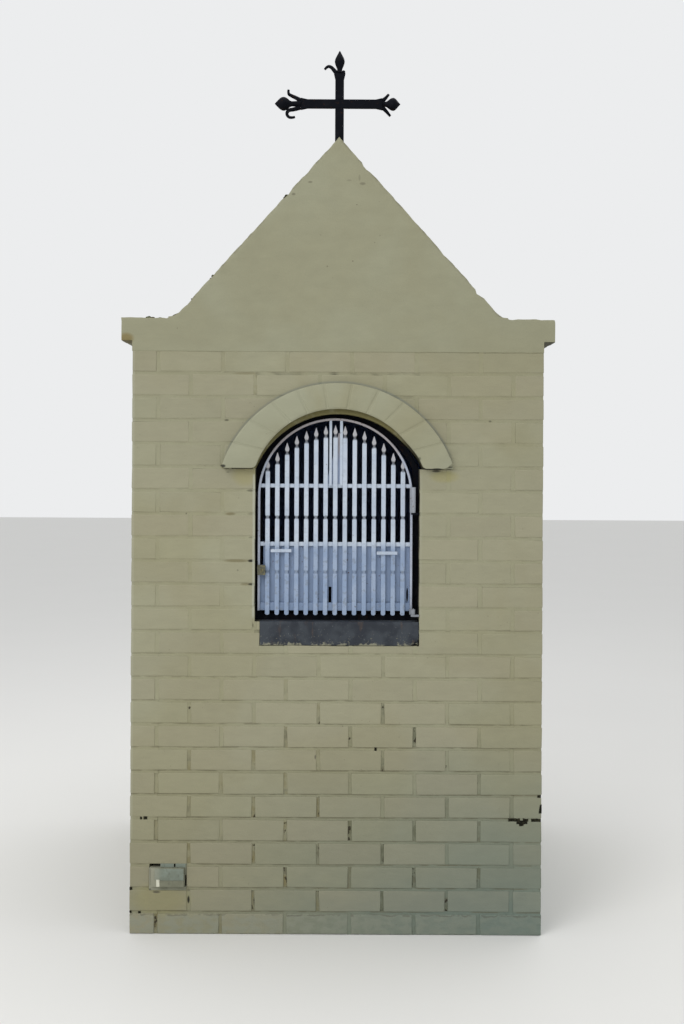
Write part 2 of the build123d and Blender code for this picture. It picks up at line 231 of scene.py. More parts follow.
class Paint(NodeTree):
    """A material under construction, whose patterns read Object coordinates."""

    def __init__(self, name: str, colour: Colour) -> None:
        """Start a material.

        Args:
            name: The material's name.
            colour: The colour that it starts from.
        """
        self.colour: Channel | Colour = colour
        self.material = bpy.data.materials.new(name)
        super().__init__(self.material)
        self.place = self.node("ShaderNodeTexCoord", output="Object")
        split = "ShaderNodeSeparateXYZ"
        axes = [self.node(split, inputs={0: self.place}, output=axis) for axis in range(3)]
        self.x, self.y, self.z = axes

    def attribute(self, name: str) -> Channel:
        """Read a number that the mesh carries."""
        return self.node("ShaderNodeAttribute", {"attribute_name": name}, output="Fac")

    def noise(
        self,
        size: float,
        detail: float = 3.0,
        stretch: tuple[float, float, float] = (1.0, 1.0, 1.0),
        bend: float = 0.0,
    ) -> Channel:
        """Add soft noise.

        Args:
            size: About how large its features are.
            detail: How many finer octaves it has.
            stretch: Scale of the place along each axis; a small one draws features out.
            bend: How much it is distorted.

        Returns:
            The noise, mostly from 0.3 to 0.7.
        """
        place = self.node("ShaderNodeMapping", inputs={"Vector": self.place, "Scale": stretch})
        inputs = {"Vector": place, "Scale": 1 / size, "Detail": detail, "Distortion": bend}
        return self.node("ShaderNodeTexNoise", inputs=inputs)

    def cells(self, size: float, feature: str = "F1", bend: float = 0.0) -> Channel:
        """Add cells.

        Args:
            size: About how large a cell is.
            feature: Voronoi feature, such as F1 or DISTANCE_TO_EDGE.
            bend: How far soft noise moves the cells' edges, in cells.

        Returns:
            The distance that the feature gives, in cells.
        """
        place = self.place
        if bend:
            inputs = {"Vector": place, "Scale": 0.7 / size}
            wobble = self.node("ShaderNodeTexNoise", inputs=inputs, output="Color")
            inputs = {0: wobble, 1: (bend * size,) * 3, 2: place}
            place = self.node("ShaderNodeVectorMath", {"operation": "MULTIPLY_ADD"}, inputs)
        inputs = {"Vector": place, "Scale": 1 / size}
        return self.node("ShaderNodeTexVoronoi", {"feature": feature}, inputs)

    def mix(
        self,
        share: Channel | float,
        first: Channel | Colour,
        second: Channel | Colour,
        blend: str = "MIX",
    ) -> Channel:
        """Mix two colours, the second over the first by its share."""
        settings = {"data_type": "RGBA", "blend_type": blend}
        return self.node("ShaderNodeMix", settings, {0: share, 6: first, 7: second}, output=2)

    def cover(self, share: Channel | float, tint: Channel | Colour) -> None:
        """Lay a colour over what is there, as far as its share says."""
        self.colour = self.mix(share, self.colour, tint)

    def shade(self, amount: Channel) -> None:
        """Darken or lighten what is there by a factor near 1."""
        self.colour = self.mix(1.0, self.colour, amount, "MULTIPLY")

    def dab(self, marks: Iterable[Mark], tint: Colour, mask: Channel | float = 1.0) -> None:
        """Lay soft oval marks over what is there.

        Args:
            marks: The marks.
            tint: Their colour.
            mask: Where they may show.
        """
        for mark in marks:
            across = (self.x - mark.x) / mark.wide
            up = (self.z - mark.z) / mark.high
            spot = (across * across + up * up).ease(1.0, 0.1)
            self.cover(spot * mask * mark.share, tint)

    def surface(
        self,
        roughness: Channel | float,
        height: Channel | None = None,
        depth: float = 0.001,
        specular: float = 0.5,
        metallic: float = 0.0,
    ) -> Material:
        """Close the material with one shader.

        Args:
            roughness: Roughness.
            height: Relief from 0 to 1.
            depth: How deep the relief is, in metres.
            specular: How strongly it reflects.
            metallic: How much of a metal it is.

        Returns:
            The material.
        """
        inputs = {
            "Base Color": self.colour,
            "Roughness": roughness,
            "Specular IOR Level": specular,
            "Metallic": metallic,
        }
        if height is not None:
            relief = {"Height": height, "Distance": depth}
            inputs["Normal"] = self.node("ShaderNodeBump", inputs=relief)
        shader = self.node("ShaderNodeBsdfPrincipled", inputs=inputs)
        self.node("ShaderNodeOutputMaterial", inputs={"Surface": shader})
        return self.material


@dataclass(frozen=True)
class Finish:
    """What every finish has: a name, and the record's material slot that it stands for."""

    name: str
    slot: str

    def material(self) -> Material:
        """Make the finish's material."""
        raise NotImplementedError


@dataclass(frozen=True)
class MasonryPaint(Finish):
    """Cream masonry paint, weathered towards the ground, with painted shade inside the niche."""

    cream: Colour = srgb(151, 149, 124)
    warm: Colour = srgb(147, 144, 117)
    low: Colour = srgb(134, 131, 106)
    # dampness on the foot, and painted blue-green shade towards the lower right
    damp_and_shade: Colour = srgb(106, 120, 112)
    # painted shade: a dark blue-grey that stands for the shade inside the niche
    niche_shade: Colour = srgb(102, 118, 156)
    # a thin grey-green line along the arch's outer edge
    arch_edge_grey: Colour = srgb(126, 130, 119)
    # painted reflected light: warm light thrown up from the ground onto undersides and faces under
    # overhangs
    reflected_golden: Colour = srgb(122, 108, 66)
    dark: Colour = srgb(62, 54, 38)
    brown: Colour = srgb(104, 94, 62)
    olive: Colour = srgb(140, 134, 80)
    # painted reflected light: warm light on the wall under the arch's ends
    reflected_yellow: Colour = srgb(152, 145, 82)
    # painted highlight on the arrises
    arris: Colour = srgb(172, 174, 158)
    reveal: Colour = srgb(30, 29, 25)
    low_start: float = 0.75
    base_top: float = 0.2
    inner_x: float = 0.5575
    inner_y: float = 0.5072
    ceiling: float = 1.8582
    fade: float = 0.0008
    face: Span = (-0.58, -0.59)
    hood_middle: float = 1.3453
    hood_radius: float = 0.3807
    jamb: float = 0.2575
    jamb_foot: float = 0.985
    jamb_top: float = 1.445
    reveal_foot: float = 0.9
    reveal_front: float = -0.5935
    reveal_rear: float = -0.5
    # painted reflected light under the arch's two ends
    ends: tuple[Mark, ...] = (
        Mark(-0.29, 1.438, 0.05, 0.042, 0.45),
        Mark(0.335, 1.436, 0.055, 0.024, 0.45),
    )
    # painted shadow: thin dark lines just under the arch's ends
    shadows_under_ends: tuple[Mark, ...] = (
        Mark(-0.29, 1.4575, 0.0475, 0.0035, 0.2),
        Mark(0.335, 1.4575, 0.0523, 0.0035, 0.2),
    )
    box_foot: Mark = Mark(-0.548, 0.108, 0.115, 0.065, 0.42)
    dashes: tuple[Mark, ...] = (
        Mark(-0.315, 1.1692, 0.05, 0.0065, 0.6),
        Mark(-0.335, 1.316, 0.02, 0.006, 0.6),
        Mark(-0.285, 1.0958, 0.022, 0.005, 0.5),
        Mark(-0.29, 1.7564, 0.05, 0.005, 0.4),
    )
    # dark marks; those under the arch's ends and at the cover box's right side are painted shadow
    smudges_and_shadows: tuple[Mark, ...] = (
        Mark(-0.359, 1.467, 0.01, 0.0055, 0.9),
        Mark(-0.348, 1.458, 0.011, 0.0035, 0.5),
        Mark(-0.3435, 1.4465, 0.006, 0.0028, 0.4),
        Mark(0.309, 1.453, 0.017, 0.005, 0.9),
        Mark(0.35, 1.461, 0.012, 0.0045, 0.7),
        Mark(-0.348, 1.6096, 0.009, 0.004, 0.6),
        Mark(0.477, 1.6096, 0.006, 0.004, 0.5),
        Mark(-0.272, 1.3894, 0.015, 0.0048, 0.5),
        Mark(-0.27, 1.316, 0.014, 0.005, 0.22),
        Mark(-0.269, 1.2426, 0.011, 0.004, 0.3),
        Mark(-0.27, 1.1692, 0.012, 0.0055, 1.0),
        Mark(-0.269, 1.0958, 0.0125, 0.0048, 0.8),
        Mark(-0.311, 1.1395, 0.0035, 0.004, 0.4),
        Mark(-0.56, 0.131, 0.015, 0.0048, 0.8),
        Mark(-0.46, 0.107, 0.005, 0.015, 0.95),
        Mark(-0.46, 0.137, 0.007, 0.005, 0.35),
        Mark(-0.065, 0.556, 0.0035, 0.009, 0.7),
    )

    def coat(self, paint: Paint) -> None:
        """Lay the paint without the marks of one surface.

        Args:
            paint: The material under construction.
        """
        cloud = paint.noise(0.35, 3.0, bend=0.4)
        patch = paint.noise(0.06, 4.0, (1.0, 1.0, 1.6))
        paint.cover(cloud.ease(0.42, 0.62), self.warm)
        ground = (paint.z + 0.25 * (cloud - 0.5)).ease(self.low_start, 0.02)
        # painted shade: the lower right, and the foot more so at the right, turn blue-green; the
        # foot's green all along is dampness
        right = (paint.x + paint.y * 0.2).ease(-0.65, 0.45)
        paint.cover(ground * 0.7, self.low)
        paint.cover(ground * right * 0.8, self.damp_and_shade)
        base = (paint.z + 0.12 * (patch - 0.5)).ease(self.base_top, 0.02)
        paint.cover(base * (0.12 + 0.5 * right), self.damp_and_shade)
        # painted shade: darker towards the top, more so at the left, against the lamps' brighter
        # light up there; the patches are the paint's own
        high = paint.z.ease(1.1, 2.1)
        left = paint.x.ease(0.1, -0.5)
        paint.shade(0.925 + 0.15 * patch - (0.03 + 0.035 * left) * high)

    def inside(self, paint: Paint) -> Channel:
        """Mark what faces the niche.

        Args:
            paint: The material under construction.

        Returns:
            1 on the niche's walls and ceiling, and 0 elsewhere.
        """
        across = abs(paint.x).ease(self.inner_x + self.fade, self.inner_x)
        along = abs(paint.y).ease(self.inner_y + self.fade, self.inner_y)
        return across * along * paint.z.ease(self.ceiling + self.fade, self.ceiling)

    def washed(self, paint: Paint) -> None:
        """Add the front's marks, dark reveals, and painted reflected light, shadow, shade and
        highlights.

        Args:
            paint: The material under construction.
        """
        # a thin grey-green line just outside the arch's outer edge
        up = paint.z - self.hood_middle
        reach = (paint.x * paint.x + up * up) ** 0.5
        band = reach.ease(self.hood_radius + 0.011, self.hood_radius + 0.004)
        front = paint.y.ease(*self.face)
        paint.cover(band * up.ease(0.12, 0.2) * front * 0.75, self.arch_edge_grey)
        # painted reflected light under the arch's ends
        paint.dab(self.ends, self.reflected_yellow, front)
        # painted shadow under the arch's ends
        paint.dab(self.shadows_under_ends, self.dark, front)
        # painted shade: the front's upper left a little darker
        corner = paint.z.ease(1.3, 1.6) * paint.x.ease(-0.15, -0.4) * front
        paint.shade(1.0 - 0.033 * corner)
        # painted highlight down the wall's left edge
        edge = paint.x.ease(-0.635, -0.638) * paint.z.ease(0.25, 0.35) * front
        paint.cover(edge * 0.25, self.arris)
        paint.dab([self.box_foot], self.olive, front)
        paint.dab(self.dashes, self.brown, front)
        # dark marks, partly painted shadow
        paint.dab(self.smudges_and_shadows, self.reveal, front)
        # painted highlight along the jambs' arrises, stronger at the left
        past = abs(paint.x) - self.jamb
        foot = paint.z.ease(self.jamb_foot, self.jamb_foot + 0.015)
        upright = foot * paint.z.ease(self.jamb_top, self.jamb_top - 0.01) * front
        strip = past.ease(0.0005, 0.0015) * past.ease(0.0095, 0.0065) * upright
        left = paint.x.ease(0.1, -0.1)
        paint.cover(strip * (0.15 + 0.5 * left), self.arris)
        depth = paint.y.ease(self.reveal_front, self.reveal_front + 0.002)
        depth = depth * paint.y.ease(self.reveal_rear, self.reveal_rear - 0.004)
        reveal = depth * past.ease(0.0015, 0.0005)
        reveal = reveal * paint.z.ease(self.reveal_foot, self.reveal_foot + 0.01)
        paint.cover(reveal * 0.85, self.reveal)


@dataclass(frozen=True)
class BrickPaint(MasonryPaint):
    """The paint on the bricks, each a little different, with rough plaster at the foot."""

    pinkish: Colour = srgb(150, 142, 122)
    plaster: Colour = srgb(136, 139, 124)
    speck: Colour = srgb(92, 84, 66)

    def material(self) -> Material:
        """Make the material, which reads each brick's tone.

        Returns:
            The material.
        """
        paint = Paint(self.name, self.cream)
        tone = paint.attribute("tone")
        hue = paint.attribute("hue")
        grain = paint.noise(0.0045, 4.0)
        brushed = paint.noise(0.012, 3.0, (0.25, 0.25, 1.0), 0.6)
        self.coat(paint)
        self.washed(paint)
        paint.cover(hue * 0.3, self.pinkish)
        paint.shade(1.0 + 0.03 * tone + 0.1 * (brushed - 0.5))
        lumps = paint.noise(0.035, 4.0, (1.0, 1.0, 1.4))
        foot = (paint.z + 0.03 * (lumps - 0.5)).ease(0.07, 0.055)
        right = paint.x.ease(-0.3, 0.6)
        pale = foot * lumps.ease(0.4, 0.58) * (0.55 - 0.35 * right)
        paint.cover(pale, self.plaster)
        ledge = abs(paint.z + 0.03 * (lumps - 0.5) - 0.061).ease(0.0045, 0.001)
        paint.cover(ledge * lumps.ease(0.44, 0.54) * 0.35, self.dark)
        specks = paint.cells(0.021).ease(0.09, 0.05)
        specks = specks * paint.noise(0.12).ease(0.52, 0.62)
        paint.cover(specks * 0.35, self.speck)
        # painted shade on the niche's walls and ceiling
        paint.cover(self.inside(paint), self.niche_shade)
        height = 0.55 * grain + 0.45 * brushed - 0.5 * specks + foot * 3.0 * lumps - ledge
        return paint.surface(0.62 + 0.2 * grain, height, 0.0009, specular=0.3)


@dataclass(frozen=True)
class JointPaint(MasonryPaint):
    """The paint in the joints, with a painted shadow line under the bricks and open parts here and
    there.
    """

    # painted shadow under each brick's lower edge
    line: Colour = srgb(96, 90, 68)
    worn: Colour = srgb(121, 113, 80)
    worn_right: Colour = srgb(99, 101, 82)
    shadow: Colour = srgb(94, 91, 72)
    open_joint: Colour = srgb(50, 44, 34)
    first_bed: float = 0.064
    rise: float = 0.0734

    def material(self) -> Material:
        """Make the material, which reads how open each joint is.

        Returns:
            The material.
        """
        paint = Paint(self.name, self.cream)
        opened = paint.attribute("opened")
        grain = paint.noise(0.012, 4.0, (1.0, 1.0, 0.6))
        wide = paint.noise(0.05, 2.0)
        self.coat(paint)
        self.washed(paint)
        low = paint.z.ease(1.2, 0.45)
        blotch = paint.noise(0.022, 4.0, (1.0, 1.0, 0.5), 0.5)
        part = 0.4 + 0.6 * paint.noise(0.045, 2.0).ease(0.42, 0.54)
        fill = opened.ease(0.15, 0.85) * blotch.ease(0.34, 0.58) * part
        worn = paint.mix(paint.x.ease(-0.12, 0.12), self.worn, self.worn_right)
        paint.cover(fill * 0.9, worn)
        shaded = opened.ease(0.15, 0.7) * blotch.ease(0.5, 0.36)
        paint.cover(shaded * part * 0.7, self.shadow)
        # painted shadow: a thin dark line in each bed just under the brick above, stronger low down
        height = paint.node(
            "ShaderNodeMath", {"operation": "MODULO"}, {0: paint.z - self.first_bed, 1: self.rise}
        )
        line = height.ease(0.0035, 0.006) * height.ease(0.0115, 0.0095)
        line = line * (0.14 + 0.36 * low) * wide.ease(0.38, 0.6)
        paint.cover(line, self.line)
        limit = 0.77 - 0.26 * opened
        broken = grain.ease(limit, limit + 0.06)
        paint.cover(broken * 0.9, self.open_joint)
        # painted shade on the niche's walls and ceiling
        paint.cover(self.inside(paint), self.niche_shade)
        return paint.surface(0.8, grain - 0.8 * broken, 0.002, specular=0.2)


@dataclass(frozen=True)
class SmoothRender(MasonryPaint):
    """Painted render on the gable, the shoulders and the raised arch."""

    crack: Colour = srgb(104, 97, 76)
    crack_share: float = 1.0
    # painted shadow on the eaves' underside
    eaves_shade: Colour = srgb(34, 32, 18)
    eaves: float = 1.858
    overhang: float = 0.6458

    def material(self) -> Material:
        """Make the material with trowel marks, hair cracks, a few pits and a painted shadow under
        the eaves.

        Returns:
            The material.
        """
        paint = Paint(self.name, self.cream)
        grain = paint.noise(0.004, 3.0)
        trowel = paint.noise(0.05, 3.0, (0.5, 1.0, 1.0), 1.2)
        wide = paint.noise(0.45, 2.0)
        self.coat(paint)
        paint.shade(0.955 + 0.06 * trowel + 0.04 * wide)
        crack = paint.cells(0.34, "DISTANCE_TO_EDGE", 0.8).ease(0.006, 0.002)
        crack = crack * paint.noise(0.25, 2.0).ease(0.53, 0.58) * self.crack_share
        pits = paint.cells(0.035).ease(0.085, 0.05)
        pits = pits * paint.noise(0.16).ease(0.56, 0.64)
        paint.cover(crack * 0.5, self.crack)
        paint.cover(pits * 0.5, self.crack)
        self.marks(paint)
        # painted shadow on the eaves' underside, darker at the right
        under = paint.z.ease(self.eaves + 0.0016, self.eaves + 0.0004)
        under = under * abs(paint.x).ease(self.overhang, self.overhang + 0.0008)
        under = under * (0.35 + 0.45 * paint.x.ease(-0.1, 0.1))
        paint.cover(under, self.eaves_shade)
        # painted shade on the niche's walls and ceiling
        paint.cover(self.inside(paint), self.niche_shade)
        height = 0.3 * grain + 0.7 * trowel - 0.6 * crack - 0.6 * pits
        return paint.surface(0.66 + 0.15 * grain, height, 0.0016, specular=0.3)

    def marks(self, paint: Paint) -> None:
        """Add the marks of this piece alone; a plain one has none."""


@dataclass(frozen=True)
class GableRender(SmoothRender):
    """The front gable's render, with painted reflected light on its left corner and grime along its
    upper edges.
    """

    foot: float = 1.934
    grime: Colour = srgb(92, 88, 72)
    pitch: float = 0.8345
    apex: float = 2.498
    pocks: tuple[Mark, ...] = (
        Mark(-0.09, 2.356, 0.009, 0.0045, 0.55),
        Mark(-0.142, 2.318, 0.008, 0.005, 0.6),
        Mark(0.074, 2.352, 0.012, 0.0055, 0.5),
        Mark(0.064, 2.37, 0.004, 0.013, 0.3),
        Mark(0.032, 2.362, 0.01, 0.004, 0.3),
    )
    # painted reflected light on the left shoulder's lower corner
    left_end: Mark = Mark(-0.664, 1.864, 0.03, 0.022, 0.85)

    def marks(self, paint: Paint) -> None:
        """Add painted reflected light on the left corner, a few pocks and the grime along the
        slopes.

        Args:
            paint: The material under construction.
        """
        paint.dab(self.pocks, self.grime)
        paint.dab([self.left_end], self.reflected_golden)
        under = (self.apex - paint.z) * math.cos(self.pitch)
        under = under - abs(paint.x) * math.sin(self.pitch)
        ragged = paint.noise(0.03, 4.0)
        edge = (under + 0.03 * (ragged - 0.5)).ease(0.011, 0.002)
        edge = edge * paint.z.ease(self.foot, self.foot + 0.005)
        edge = edge * ragged.ease(0.44, 0.62)
        front = paint.y.ease(-0.575, -0.59)
        paint.cover(edge * (0.2 + 0.4 * front), self.grime)


@dataclass(frozen=True)
class HoodPaint(SmoothRender):
    """The raised arch's paint, which ends at the wall's face, with painted reflected light on the
    arris behind it.
    """

    wall_face: float = -0.595
    past_wall: Span = (0.33, 0.322)
    # painted shade on the inner edge from here to the right
    shaded_from: Span = (0.17, 0.23)
    # dark chips at the ends; those under the right end are painted shadow
    chips: tuple[Mark, ...] = (
        Mark(-0.356, 1.466, 0.01, 0.006, 0.9),
        Mark(0.256, 1.492, 0.005, 0.006, 0.5),
        Mark(0.31, 1.46, 0.018, 0.003, 0.7),
        Mark(0.353, 1.4655, 0.009, 0.003, 0.7),
    )

    def marks(self, paint: Paint) -> None:
        """Add painted reflected light on the inner edge, painted shade over it at the right, and
        dark chips with painted shadow at the ends.

        Args:
            paint: The material under construction.
        """
        # painted reflected light on the faces behind the wall's face
        behind = paint.y.ease(self.wall_face - 0.004, self.wall_face - 0.001)
        behind = behind * paint.x.ease(*self.past_wall)
        blotch = paint.noise(0.03, 3.0).ease(0.3, 0.5)
        paint.cover(behind * (0.55 + 0.4 * blotch), self.reflected_golden)
        # painted shade over the inner edge at the right
        shaded_soffit = paint.x.ease(*self.shaded_from) * behind
        paint.cover(shaded_soffit * 0.8, self.reveal)
        paint.dab(self.chips, self.reveal)


@dataclass(frozen=True)
class RoofRender(SmoothRender):
    """Render on the roof slopes, stained by rain and grown with lichen."""

    grime: Colour = srgb(96, 95, 80)
    lichen: Colour = srgb(158, 158, 132)
    rust_lichen: Colour = srgb(141, 116, 52)

    def marks(self, paint: Paint) -> None:
        """Add grime in streaks down the slope, and lichen.

        Args:
            paint: The material under construction.
        """
        streak = paint.noise(0.09, 4.0, (0.25, 1.6, 0.25))
        paint.cover(streak.ease(0.3, 0.72) * 0.55, self.grime)
        rings = paint.cells(0.07, "F1", 0.5)
        grown = paint.noise(0.2, 2.0).ease(0.46, 0.56)
        paint.cover(rings.ease(0.32, 0.2) * grown * 0.35, self.lichen)
        small = paint.cells(0.045, "F1", 0.6).ease(0.2, 0.15)
        small = small * paint.noise(0.3).ease(0.55, 0.6)
        paint.cover(small * 0.35, self.rust_lichen)


@dataclass(frozen=True)
class SillStone(Finish):
    """Dark blue limestone with pale fossil flecks and splashes of the wall's paint."""

    stone: Colour = srgb(61, 66, 72)
    dark: Colour = srgb(46, 50, 57)
    fleck: Colour = srgb(112, 116, 118)
    rust: Colour = srgb(84, 70, 60)
    splash: Colour = srgb(146, 144, 122)
    bottom: float = 0.9045

    def material(self) -> Material:
        """Make the material; the splashes lie along the lower edge.

        Returns:
            The material.
        """
        paint = Paint(self.name, self.dark)
        cloud = paint.noise(0.05, 4.0)
        grain = paint.noise(0.003, 4.0)
        paint.cover(cloud.ease(0.38, 0.62), self.stone)
        flecks = paint.cells(0.012, "F1", 0.8).ease(0.2, 0.1) * grain.ease(0.45, 0.6)
        paint.cover(flecks * 0.55, self.fleck)
        runs = paint.noise(0.02, 3.0, (1.0, 1.0, 0.2)).ease(0.58, 0.66)
        paint.cover(runs * 0.4, self.rust)
        ragged = paint.noise(0.011, 4.0)
        edge = (paint.z - self.bottom - 0.05 * (ragged - 0.47)).ease(0.009, -0.003)
        edge = edge * paint.noise(0.03, 3.0).ease(0.4, 0.52)
        paint.cover(edge * 0.8, self.splash)
        drips = paint.noise(0.006, 3.0).ease(0.64, 0.68) * paint.z.ease(0.95, 0.93)
        paint.cover(drips * 0.45, self.splash)
        height = 0.5 * grain + 0.5 * cloud + 0.4 * edge
        return paint.surface(0.6 + 0.25 * grain, height, 0.0012, specular=0.25)


@dataclass(frozen=True)
class WhiteIron(Finish):
    """Old white paint on iron: chalky, dusty and in painted shade low down, with rust at chips and
    edges.
    """

    white: Colour = srgb(188, 198, 211)
    shade: Colour = srgb(134, 153, 181)
    pink: Colour = srgb(158, 150, 148)
    dirt: Colour = srgb(120, 124, 128)
    rust: Colour = srgb(92, 60, 40)
    floor: float = 1.0
    rise: float = 0.25
    wear: float = 0.4
    pink_from: float = 1.47

    def material(self) -> Material:
        """Make the material.

        Returns:
            The material.
        """
        paint = Paint(self.name, self.white)
        grain = paint.noise(0.003, 4.0)
        brushed = paint.noise(0.02, 3.0, (1.0, 1.0, 0.15))
        cloud = paint.noise(0.07, 3.0)
        # painted shade, and the paint dusty: blue-grey low down
        dust_and_shade = paint.z.ease(self.floor + self.rise, self.floor)
        paint.cover(0.2 * cloud.ease(0.4, 0.6) + 0.75 * dust_and_shade, self.shade)
        pinkish = paint.z.ease(self.pink_from, self.pink_from + 0.06)
        paint.cover(pinkish * 0.8, self.pink)
        paint.shade(0.94 + 0.12 * brushed)
        grime = paint.noise(0.012, 4.0).ease(0.54, 0.68) * (0.16 + 0.3 * dust_and_shade)
        paint.cover(grime, self.dirt)
        self.bands(paint)
        flaw = paint.noise(0.0075, 4.0)
        chips = flaw.ease(0.7 - 0.02 * self.wear, 0.72)
        paint.cover(flaw.ease(0.6, 0.7) * 0.3 * self.wear, self.rust)
        paint.cover(chips * 0.85, self.rust)
        height = 0.35 * grain + 0.65 * brushed - 0.8 * chips
        roughness = 0.48 + 0.35 * chips + 0.15 * grain
        return paint.surface(roughness, height, 0.0005, specular=0.35)

    def bands(self, paint: Paint) -> None:
        """Add the grimy bands of one piece; a plain one has none."""


@dataclass(frozen=True)
class PicketIron(WhiteIron):
    """White iron of the pickets, darker at their pinches and under their spear heads."""

    band_dark: Colour = srgb(62, 64, 72)
    head: Colour = srgb(168, 163, 162)
    pinches: tuple[float, ...] = (1.133, 1.305)
    middle: float = -0.00675
    spring: float = 1.37425
    clear_half: float = 0.23675
    pitch: float = 0.03046
    end_place: float = 0.198
    end_lift: float = 0.026
    neck_drop: float = 0.048

    def bands(self, paint: Paint) -> None:
        """Darken the pinches and necks, and tint the heads.

        Args:
            paint: The material under construction.
        """
        place = (paint.x - self.middle) / self.pitch
        number = paint.node("ShaderNodeMath", {"operation": "ROUND"}, {0: place})
        across = number * self.pitch
        arch = (self.clear_half**2 - across * across) ** 0.5 + self.spring
        lift = self.end_lift * abs(across).ease(self.end_place - 0.001, self.end_place)
        drop = arch + lift - paint.z
        ragged = 0.006 * (paint.noise(0.008, 3.0) - 0.5)
        head = drop.ease(self.neck_drop + 0.004, self.neck_drop - 0.004)
        paint.cover(head * 0.7, self.head)
        neck = abs(drop + ragged - self.neck_drop).ease(0.0085, 0.003)
        paint.cover(neck * 0.75, self.band_dark)
        for height in self.pinches:
            band = abs(paint.z + ragged - height).ease(0.0075, 0.003)
            share = 0.65 if height == max(self.pinches) else 0.3
            paint.cover(band * share, self.band_dark)


@dataclass(frozen=True)
class BlackIron(Finish):
    """Black paint on wrought iron, uneven from the hammer, with a little rust."""

    black: Colour = srgb(8, 10, 17)
    worn: Colour = srgb(20, 21, 27)
    rust: Colour = srgb(40, 27, 22)

    def material(self) -> Material:
        """Make the material.

        Returns:
            The material.
        """
        paint = Paint(self.name, self.black)
        hammered = paint.cells(0.017, "SMOOTH_F1")
        grain = paint.noise(0.0035, 4.0)
        cloud = paint.noise(0.03, 4.0)
        paint.cover(cloud.ease(0.5, 0.7) * 0.7, self.worn)
        rusty = paint.noise(0.011, 4.0).ease(0.6, 0.7)
        paint.cover(rusty * 0.75, self.rust)
        height = 0.6 * hammered + 0.4 * grain
        roughness = 0.6 + 0.2 * rusty + 0.15 * grain
        return paint.surface(roughness, height, 0.0012, specular=0.08)


@dataclass(frozen=True)
class LockBrass(Finish):
    """Dull brass gone olive, with brighter and darker patches."""

    olive: Colour = srgb(96, 96, 82)
    bright: Colour = srgb(148, 136, 88)
    dark: Colour = srgb(52, 50, 42)

    def material(self) -> Material:
        """Make the material.

        Returns:
            The material.
        """
        paint = Paint(self.name, self.olive)
        cloud = paint.noise(0.008, 4.0)
        scratch = paint.noise(0.004, 3.0, (0.3, 1.0, 2.0))
        paint.cover(cloud.ease(0.5, 0.66) * 0.6, self.bright)
        paint.cover(cloud.ease(0.42, 0.32) * 0.7, self.dark)
        return paint.surface(0.42 + 0.3 * cloud, scratch, 0.0003, metallic=0.55)


@dataclass(frozen=True)
class CoverPlastic(Finish):
    """Weathered plastic, pale grey-green with darker dirt in patches and streaks, and a painted
    sheen towards the left.
    """

    pale: Colour = srgb(122, 131, 119)
    edge: Colour = srgb(106, 112, 97)
    # painted sheen: lighter towards the left
    left_sheen: Colour = srgb(141, 143, 127)
    slot_dark: Colour = srgb(70, 70, 58)
    sheen_from: float = -0.538
    sheen_to: float = -0.562

    def material(self) -> Material:
        """Make the material.

        Returns:
            The material.
        """
        paint = Paint(self.name, self.pale)
        cloud = paint.noise(0.03, 4.0)
        grain = paint.noise(0.0016, 2.0)
        streak = paint.noise(0.007, 4.0, (1.0, 1.0, 0.5))
        paint.cover(cloud.ease(0.4, 0.62) * 0.5, self.edge)
        paint.cover(streak.ease(0.56, 0.7) * 0.3, self.slot_dark)
        # painted sheen towards the left
        left_sheen = paint.x.ease(self.sheen_from, self.sheen_to)
        paint.cover(left_sheen * 0.8, self.left_sheen)
        return paint.surface(0.48 + 0.2 * cloud, grain, 0.0003, specular=0.4)


@dataclass(frozen=True)
class Crumbly(Finish):
    """Dull, crumbly stuff in two tones: the dark floor and filling, bare mortar or dry moss."""

    dark: Colour = srgb(30, 28, 27)
    pale: Colour = srgb(52, 49, 45)
    patches: float = 0.09
    detail: float = 5.0
    turn: Span = (0.4, 0.66)
    share: float = 0.7
    grain: float = 0.004
    grain_detail: float = 4.0
    patch_relief: float = 0.4
    depth: float = 0.002
    roughness: float = 0.85
    specular: float = 0.2

    def material(self) -> Material:
        """Make the material.

        Returns:
            The material.
        """
        paint = Paint(self.name, self.dark)
        cloud = paint.noise(self.patches, self.detail)
        grain = paint.noise(self.grain, self.grain_detail)
        paint.cover(cloud.ease(*self.turn) * self.share, self.pale)
        height = (1.0 - self.patch_relief) * grain + self.patch_relief * cloud
        return paint.surface(self.roughness, height, self.depth, self.specular)


@dataclass(frozen=True)
class StageFloor(Finish):
    """Plain pale floor."""

    pale: Colour = srgb(226, 225, 222)

    def material(self) -> Material:
        """Make the material.

        Returns:
            The material.
        """
        paint = Paint(self.name, self.pale)
        cloud = paint.noise(0.8, 2.0)
        paint.shade(0.99 + 0.02 * cloud)
        return paint.surface(0.9, specular=0.1)


BRICKS = BrickPaint("brick_paint", "painted_brick")
JOINTS = JointPaint("joint_paint", "painted_brick")
GABLE = GableRender(
    "gable_render",
    "painted_render",
    cream=srgb(148, 147, 123),
    warm=srgb(145, 143, 118),
    crack_share=0.0,
)
RENDER = SmoothRender("smooth_render", "painted_render", crack_share=0.6)
HOOD = HoodPaint(
    "hood_render",
    "painted_render",
    cream=srgb(153, 153, 130),
    reflected_golden=srgb(110, 104, 64),
    crack_share=0.0,
)
ROOF = RoofRender("roof_render", "roof_render")
STONE = SillStone("sill_stone", "sill_stone")
WHITE = WhiteIron("white_iron", "white_iron")
PICKET = PicketIron("picket_white", "white_iron", pink_from=1.9, floor=1.195, rise=0.04)
MIDDLE_WHITE = WhiteIron("middle_white", "white_iron", pink_from=1.9)
